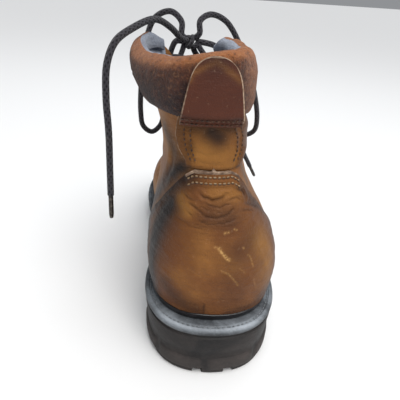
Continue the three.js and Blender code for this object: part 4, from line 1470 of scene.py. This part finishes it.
class BOOT_OT_eyelets(bpy.types.Operator):
    """Twelve pressed metal eyelets"""

    bl_idname = "boot.eyelets"
    bl_label = "Eyelets"

    def execute(self, context):
        # radius and height of the ring's section
        profile = [(2.3, -0.6), (2.3, 1.0), (2.5, 1.4), (2.9, 1.65), (3.4, 1.6), (3.9, 1.25), (4.1, 0.9),
                   (4.0, 0.35), (2.6, 0.35), (2.6, -0.6)]
        around = 32
        faces = strips(around, len(profile), ring=True)
        for index, (at, normal, _, side) in enumerate(eyelet_places()):
            name = f"eyelet_{'outer' if side > 0 else 'inner'}_{index // 2 + 1}"
            turn = Vector(normal).to_track_quat("Z", "Y").to_matrix()
            points = []
            for angle in np.arange(around) * 2 * math.pi / around:
                for r, h in profile:
                    local = turn @ Vector((r * math.cos(angle), r * math.sin(angle), h + 0.75))
                    points.append(at + np.array(local))
            settle(mesh_piece(name + "_ring", points, faces, ["metal"], sharp=40), "eyelet", name)
        return {"FINISHED"}


UPPER_FOLDS = [
    # across the vamp where the foot bends
    ([(-44, 196, 52), (-30, 200, 72), (-8, 206, 84), (14, 204, 82), (32, 199, 70), (44, 194, 54)], 2.6, 1.1),
    ([(-40, 210, 56), (-22, 214, 74), (0, 218, 80), (20, 216, 76), (36, 210, 62)], 2.4, 0.9),
    ([(-46, 184, 48), (-36, 187, 64), (-26, 189, 76)], 2.2, 0.7),
    ([(46, 182, 50), (36, 185, 66), (25, 187, 78)], 2.2, 0.7),
    # ankle
    ([(-42, 60, 128), (-38, 84, 122), (-32, 108, 116)], 3.0, 1.2),
    ([(-40, 66, 142), (-38, 86, 138), (-32, 106, 134)], 2.6, 0.8),
    ([(16, 50, 132), (24, 80, 124), (27, 106, 112)], 3.0, 1.2),
    ([(14, 56, 146), (18, 80, 142), (18, 104, 134)], 2.6, 0.8),
    ([(-36, 36, 120), (-32, 30, 132), (-30, 28, 144)], 2.2, 0.8),
]
UPPER_STAINS_AND_SHEEN = [
    ([(-24, 20, 136), (-30, 30, 126), (-37, 45, 108), (-40, 62, 90)], 7, 0.9),
    # painted sheen: this strip beside the backstay is darkened and greyed to stand for the quarter's grazing
    # sheen
    ([(-34, 36, 153), (-26, 24, 138)], 7, 0.65),
    ([(-42, 100, 60), (-36, 140, 50)], 14, 0.6),
    ([(12, 26, 136), (20, 34, 124)], 5, 0.5),
    ([(44, 200, 34), (48, 240, 34), (30, 280, 40), (-5, 296, 44), (-38, 268, 38), (-46, 220, 34)], 5, 0.5),
]
UPPER_RUBS = [
    ([(-30, 36, 140)], 7, 0.5),
    ([(-40, 62, 112), (-42, 84, 98)], 12, 0.6),
    ([(-5, 280, 66)], 20, 0.6),
    ([(0, 240, 74)], 26, 0.4),
]
UPPER_SCUFFS = [
    ([(-20, 292, 56), (-8, 297, 52)], 2.5, 0.8),
    ([(10, 290, 50), (18, 284, 58)], 2.0, 0.7),
    ([(40, 250, 50), (46, 236, 44)], 1.4, 0.7),
    ([(-42, 236, 48), (-46, 224, 42)], 1.2, 0.6),
]
HEEL_FOLDS = [
    # the sag under the stitched band, and the wrinkles stacked beneath it
    ([(-14.2, 12, 124), (-11, 11, 121.5), (-6.4, 10, 120.4), (-1.8, 10, 121.4), (1.8, 11, 124)], 1.0, 0.95),
    ([(-19.3, 14, 117), (-12.7, 10, 113.2), (-8.9, 9, 110.6)], 0.85, 0.55),
    ([(-11.8, 9, 111), (-3.6, 8, 110.6), (3.6, 9, 112.6), (7.3, 11, 116.6)], 0.9, 0.55),
    ([(-10, 10, 118), (-1.9, 9, 116.4), (4.7, 11, 118.8)], 0.65, 0.42),
    ([(8, 13, 127), (13.4, 16, 124.2), (15.4, 17, 120)], 1.1, 0.7),
    ([(-15, 9, 108), (-7.3, 7, 106.8), (2.5, 8, 107.8), (9, 10, 110)], 0.7, 0.4),
    ([(-20, 13, 112.5), (-16, 10, 109)], 0.8, 0.5),
    ([(2, 10, 120.4), (8, 12, 121.6), (12, 14, 119.4)], 0.8, 0.5),
    ([(-22, 17, 122), (-19, 14, 119.5), (-16, 12, 119)], 0.9, 0.55),
    ([(10, 12, 113), (16, 16, 112.4), (21, 22, 109)], 1.0, 0.5),
    ([(-24, 18, 106), (-18, 11, 104), (-10, 7, 103.4)], 0.8, 0.3),
    ([(-17, 13, 115), (-12, 11, 115.6), (-7, 10, 114)], 0.5, 0.25),
    ([(-4, 9, 113.4), (3, 10, 113.8), (8, 12, 115.4)], 0.5, 0.25),
    ([(-20, 14, 106), (-8, 8, 105), (6, 8, 106), (16, 14, 108)], 0.55, 0.2),
    ([(-16, 9, 101), (-4, 5, 100.4), (8, 7, 101.6)], 0.5, 0.15),
    ([(-22, 13, 98), (-12, 7, 97), (-2, 4, 97.4)], 0.5, 0.12),
    ([(-24, 19, 121), (-28, 24, 114), (-33, 34, 104)], 2.2, 0.6),
    ([(12, 14, 118), (20, 22, 113), (27, 32, 106)], 2.0, 0.6),
]
HEEL_STAINS = [
    ([(-20, 17, 134), (-23, 19, 129), (-30, 27, 120), (-38, 44, 103), (-41, 70, 82)], 8, 0.85),
    ([(-34, 21, 112), (-39, 25, 96), (-42, 29, 72), (-39, 30, 50)], 11, 1.0),
    ([(-40, 50, 80), (-41, 54, 56)], 16, 1.0),
    ([(-34, 14, 60), (-22, 6, 50), (-12, 5, 46)], 7, 0.55),
    ([(12, 15, 128), (22, 26, 114), (30, 40, 100)], 3.5, 0.5),
    ([(-8, 7, 112), (4, 8, 110)], 7, 0.4),
    ([(34, 12, 50), (42, 34, 50), (43, 60, 52)], 8, 0.5),
    ([(40, 50, 84), (41, 80, 60)], 10, 0.45),
    ([(10, 4, 44), (26, 8, 46)], 4, 0.35),
    ([(20, 8, 96), (10, 4, 90)], 8, 0.22),
]
HEEL_RUBS_AND_LIGHT = [
    ([(-24, 16, 118), (-20, 12, 112)], 5, 0.75),
    ([(-6, 9, 125), (8, 12, 124)], 5, 0.4),
    ([(-14, 7, 100), (-8, 3, 82)], 8, 0.3),
    ([(2, 3, 88), (6, 3, 80)], 8, 0.25),
    # painted light: the lateral side of the heel counter is lightened where the window light falls
    ([(28, 14, 92), (33, 16, 80), (33, 15, 66)], 9, 0.7),
    ([(-22, 7, 70), (-16, 4, 60)], 7, 0.3),
]
HEEL_SCUFFS = [
    ([(-0.8, 4.4, 92.6), (1.6, 4, 89.5), (5.3, 3.6, 85.4)], 0.9, 1.0),
    ([(-3.2, 4.6, 93.4), (-0.6, 4.4, 93.2)], 0.6, 0.6),
    ([(1.9, 6.3, 102), (4.2, 6.6, 102.8)], 0.6, 0.8),
    ([(7.4, 7.8, 104), (8.6, 8, 103.6)], 0.5, 0.7),
    ([(12.9, 7, 92.3), (13.6, 7, 91.6)], 0.5, 0.5),
    ([(16.9, 7.4, 87.4), (19.4, 7.8, 83), (20.9, 8.1, 78.2)], 0.45, 0.45),
    ([(1.3, 2.9, 79.4), (6.8, 3.1, 75.4), (10, 3.5, 71.5), (12.2, 3.8, 68)], 0.5, 0.45),
    ([(12, 4, 80), (16, 5, 76)], 0.4, 0.25),
    ([(-18, 5, 78), (-10, 3.5, 74)], 0.4, 0.2),
    ([(22, 8, 70), (25, 9, 62)], 0.4, 0.25),
]
HEEL_CRACKS = [
    ([(-7, 4.6, 52), (-6.7, 5, 48), (-6.5, 5.7, 44)], 0.7, 1.0),
]
BACKSTAY_FOLDS = [
    ([(-20, 16, 147), (-12, 14, 145.6), (-2, 13, 146.4)], 1.2, 0.14),
    ([(-8, 14, 151.5), (0, 14, 151), (6, 15, 152)], 1.0, 0.12),
    ([(-17, 16, 141.4), (-6, 13, 140.4), (0, 14, 141)], 1.1, 0.15),
    ([(-16, 16, 153), (-9, 14, 152)], 0.9, 0.1),
]
BACKSTAY_SHADE_AND_STAINS = [
    # painted shade under the pull tab and the collar; the last mark darkens the left margin lower down
    ([(-9, 13, 158), (-5, 13, 155)], 6, 0.8),
    ([(-18, 15, 162), (-8, 13, 161), (4, 15, 162)], 6, 0.6),
    ([(-22, 18, 160), (4, 16, 161)], 3.0, 0.4),
    ([(-22, 18, 140), (-20, 17, 150)], 3, 0.4),
]
BACKSTAY_RUBS = [
    ([(-14, 14, 146), (4, 15, 143)], 7, 0.5),
]
TONGUE_FOLDS = [
    ([(-14, 8, 120), (-3, 8, 126), (8, 8, 120)], 2.0, 0.6),
    ([(-16, -6, 136), (-5, -8, 142), (6, -6, 136)], 2.0, 0.5),
]


class BOOT_PT_panel(bpy.types.Panel):
    """Lists the boot's settings and its pieces"""

    bl_idname = "BOOT_PT_panel"
    bl_label = "Worn work boot"
    bl_space_type = "VIEW_3D"
    bl_region_type = "UI"
    bl_category = "Boot"

    def draw(self, context):
        for name in BootSettings.__annotations__:
            self.layout.prop(context.scene.boot, name)
        for operator in OPERATORS:
            self.layout.operator(operator.bl_idname)


OPERATORS = (BOOT_OT_stage, BOOT_OT_laces, BOOT_OT_sole, BOOT_OT_upper, BOOT_OT_heel, BOOT_OT_collar,
             BOOT_OT_tongue, BOOT_OT_eyelets)
CLASSES = (BootSettings, *OPERATORS, BOOT_PT_panel)


def register():
    for cls in CLASSES:
        bpy.utils.register_class(cls)
    bpy.types.Scene.boot = bpy.props.PointerProperty(type=BootSettings)


def unregister():
    del bpy.types.Scene.boot
    for cls in reversed(CLASSES):
        bpy.utils.unregister_class(cls)


def main():
    register()
    bpy.ops.boot.stage()
    bpy.ops.boot.laces()
    bpy.ops.boot.sole()
    bpy.ops.boot.upper()
    bpy.ops.boot.heel()
    bpy.ops.boot.collar()
    bpy.ops.boot.tongue()
    bpy.ops.boot.eyelets()


if __name__ == "__main__":
    main()
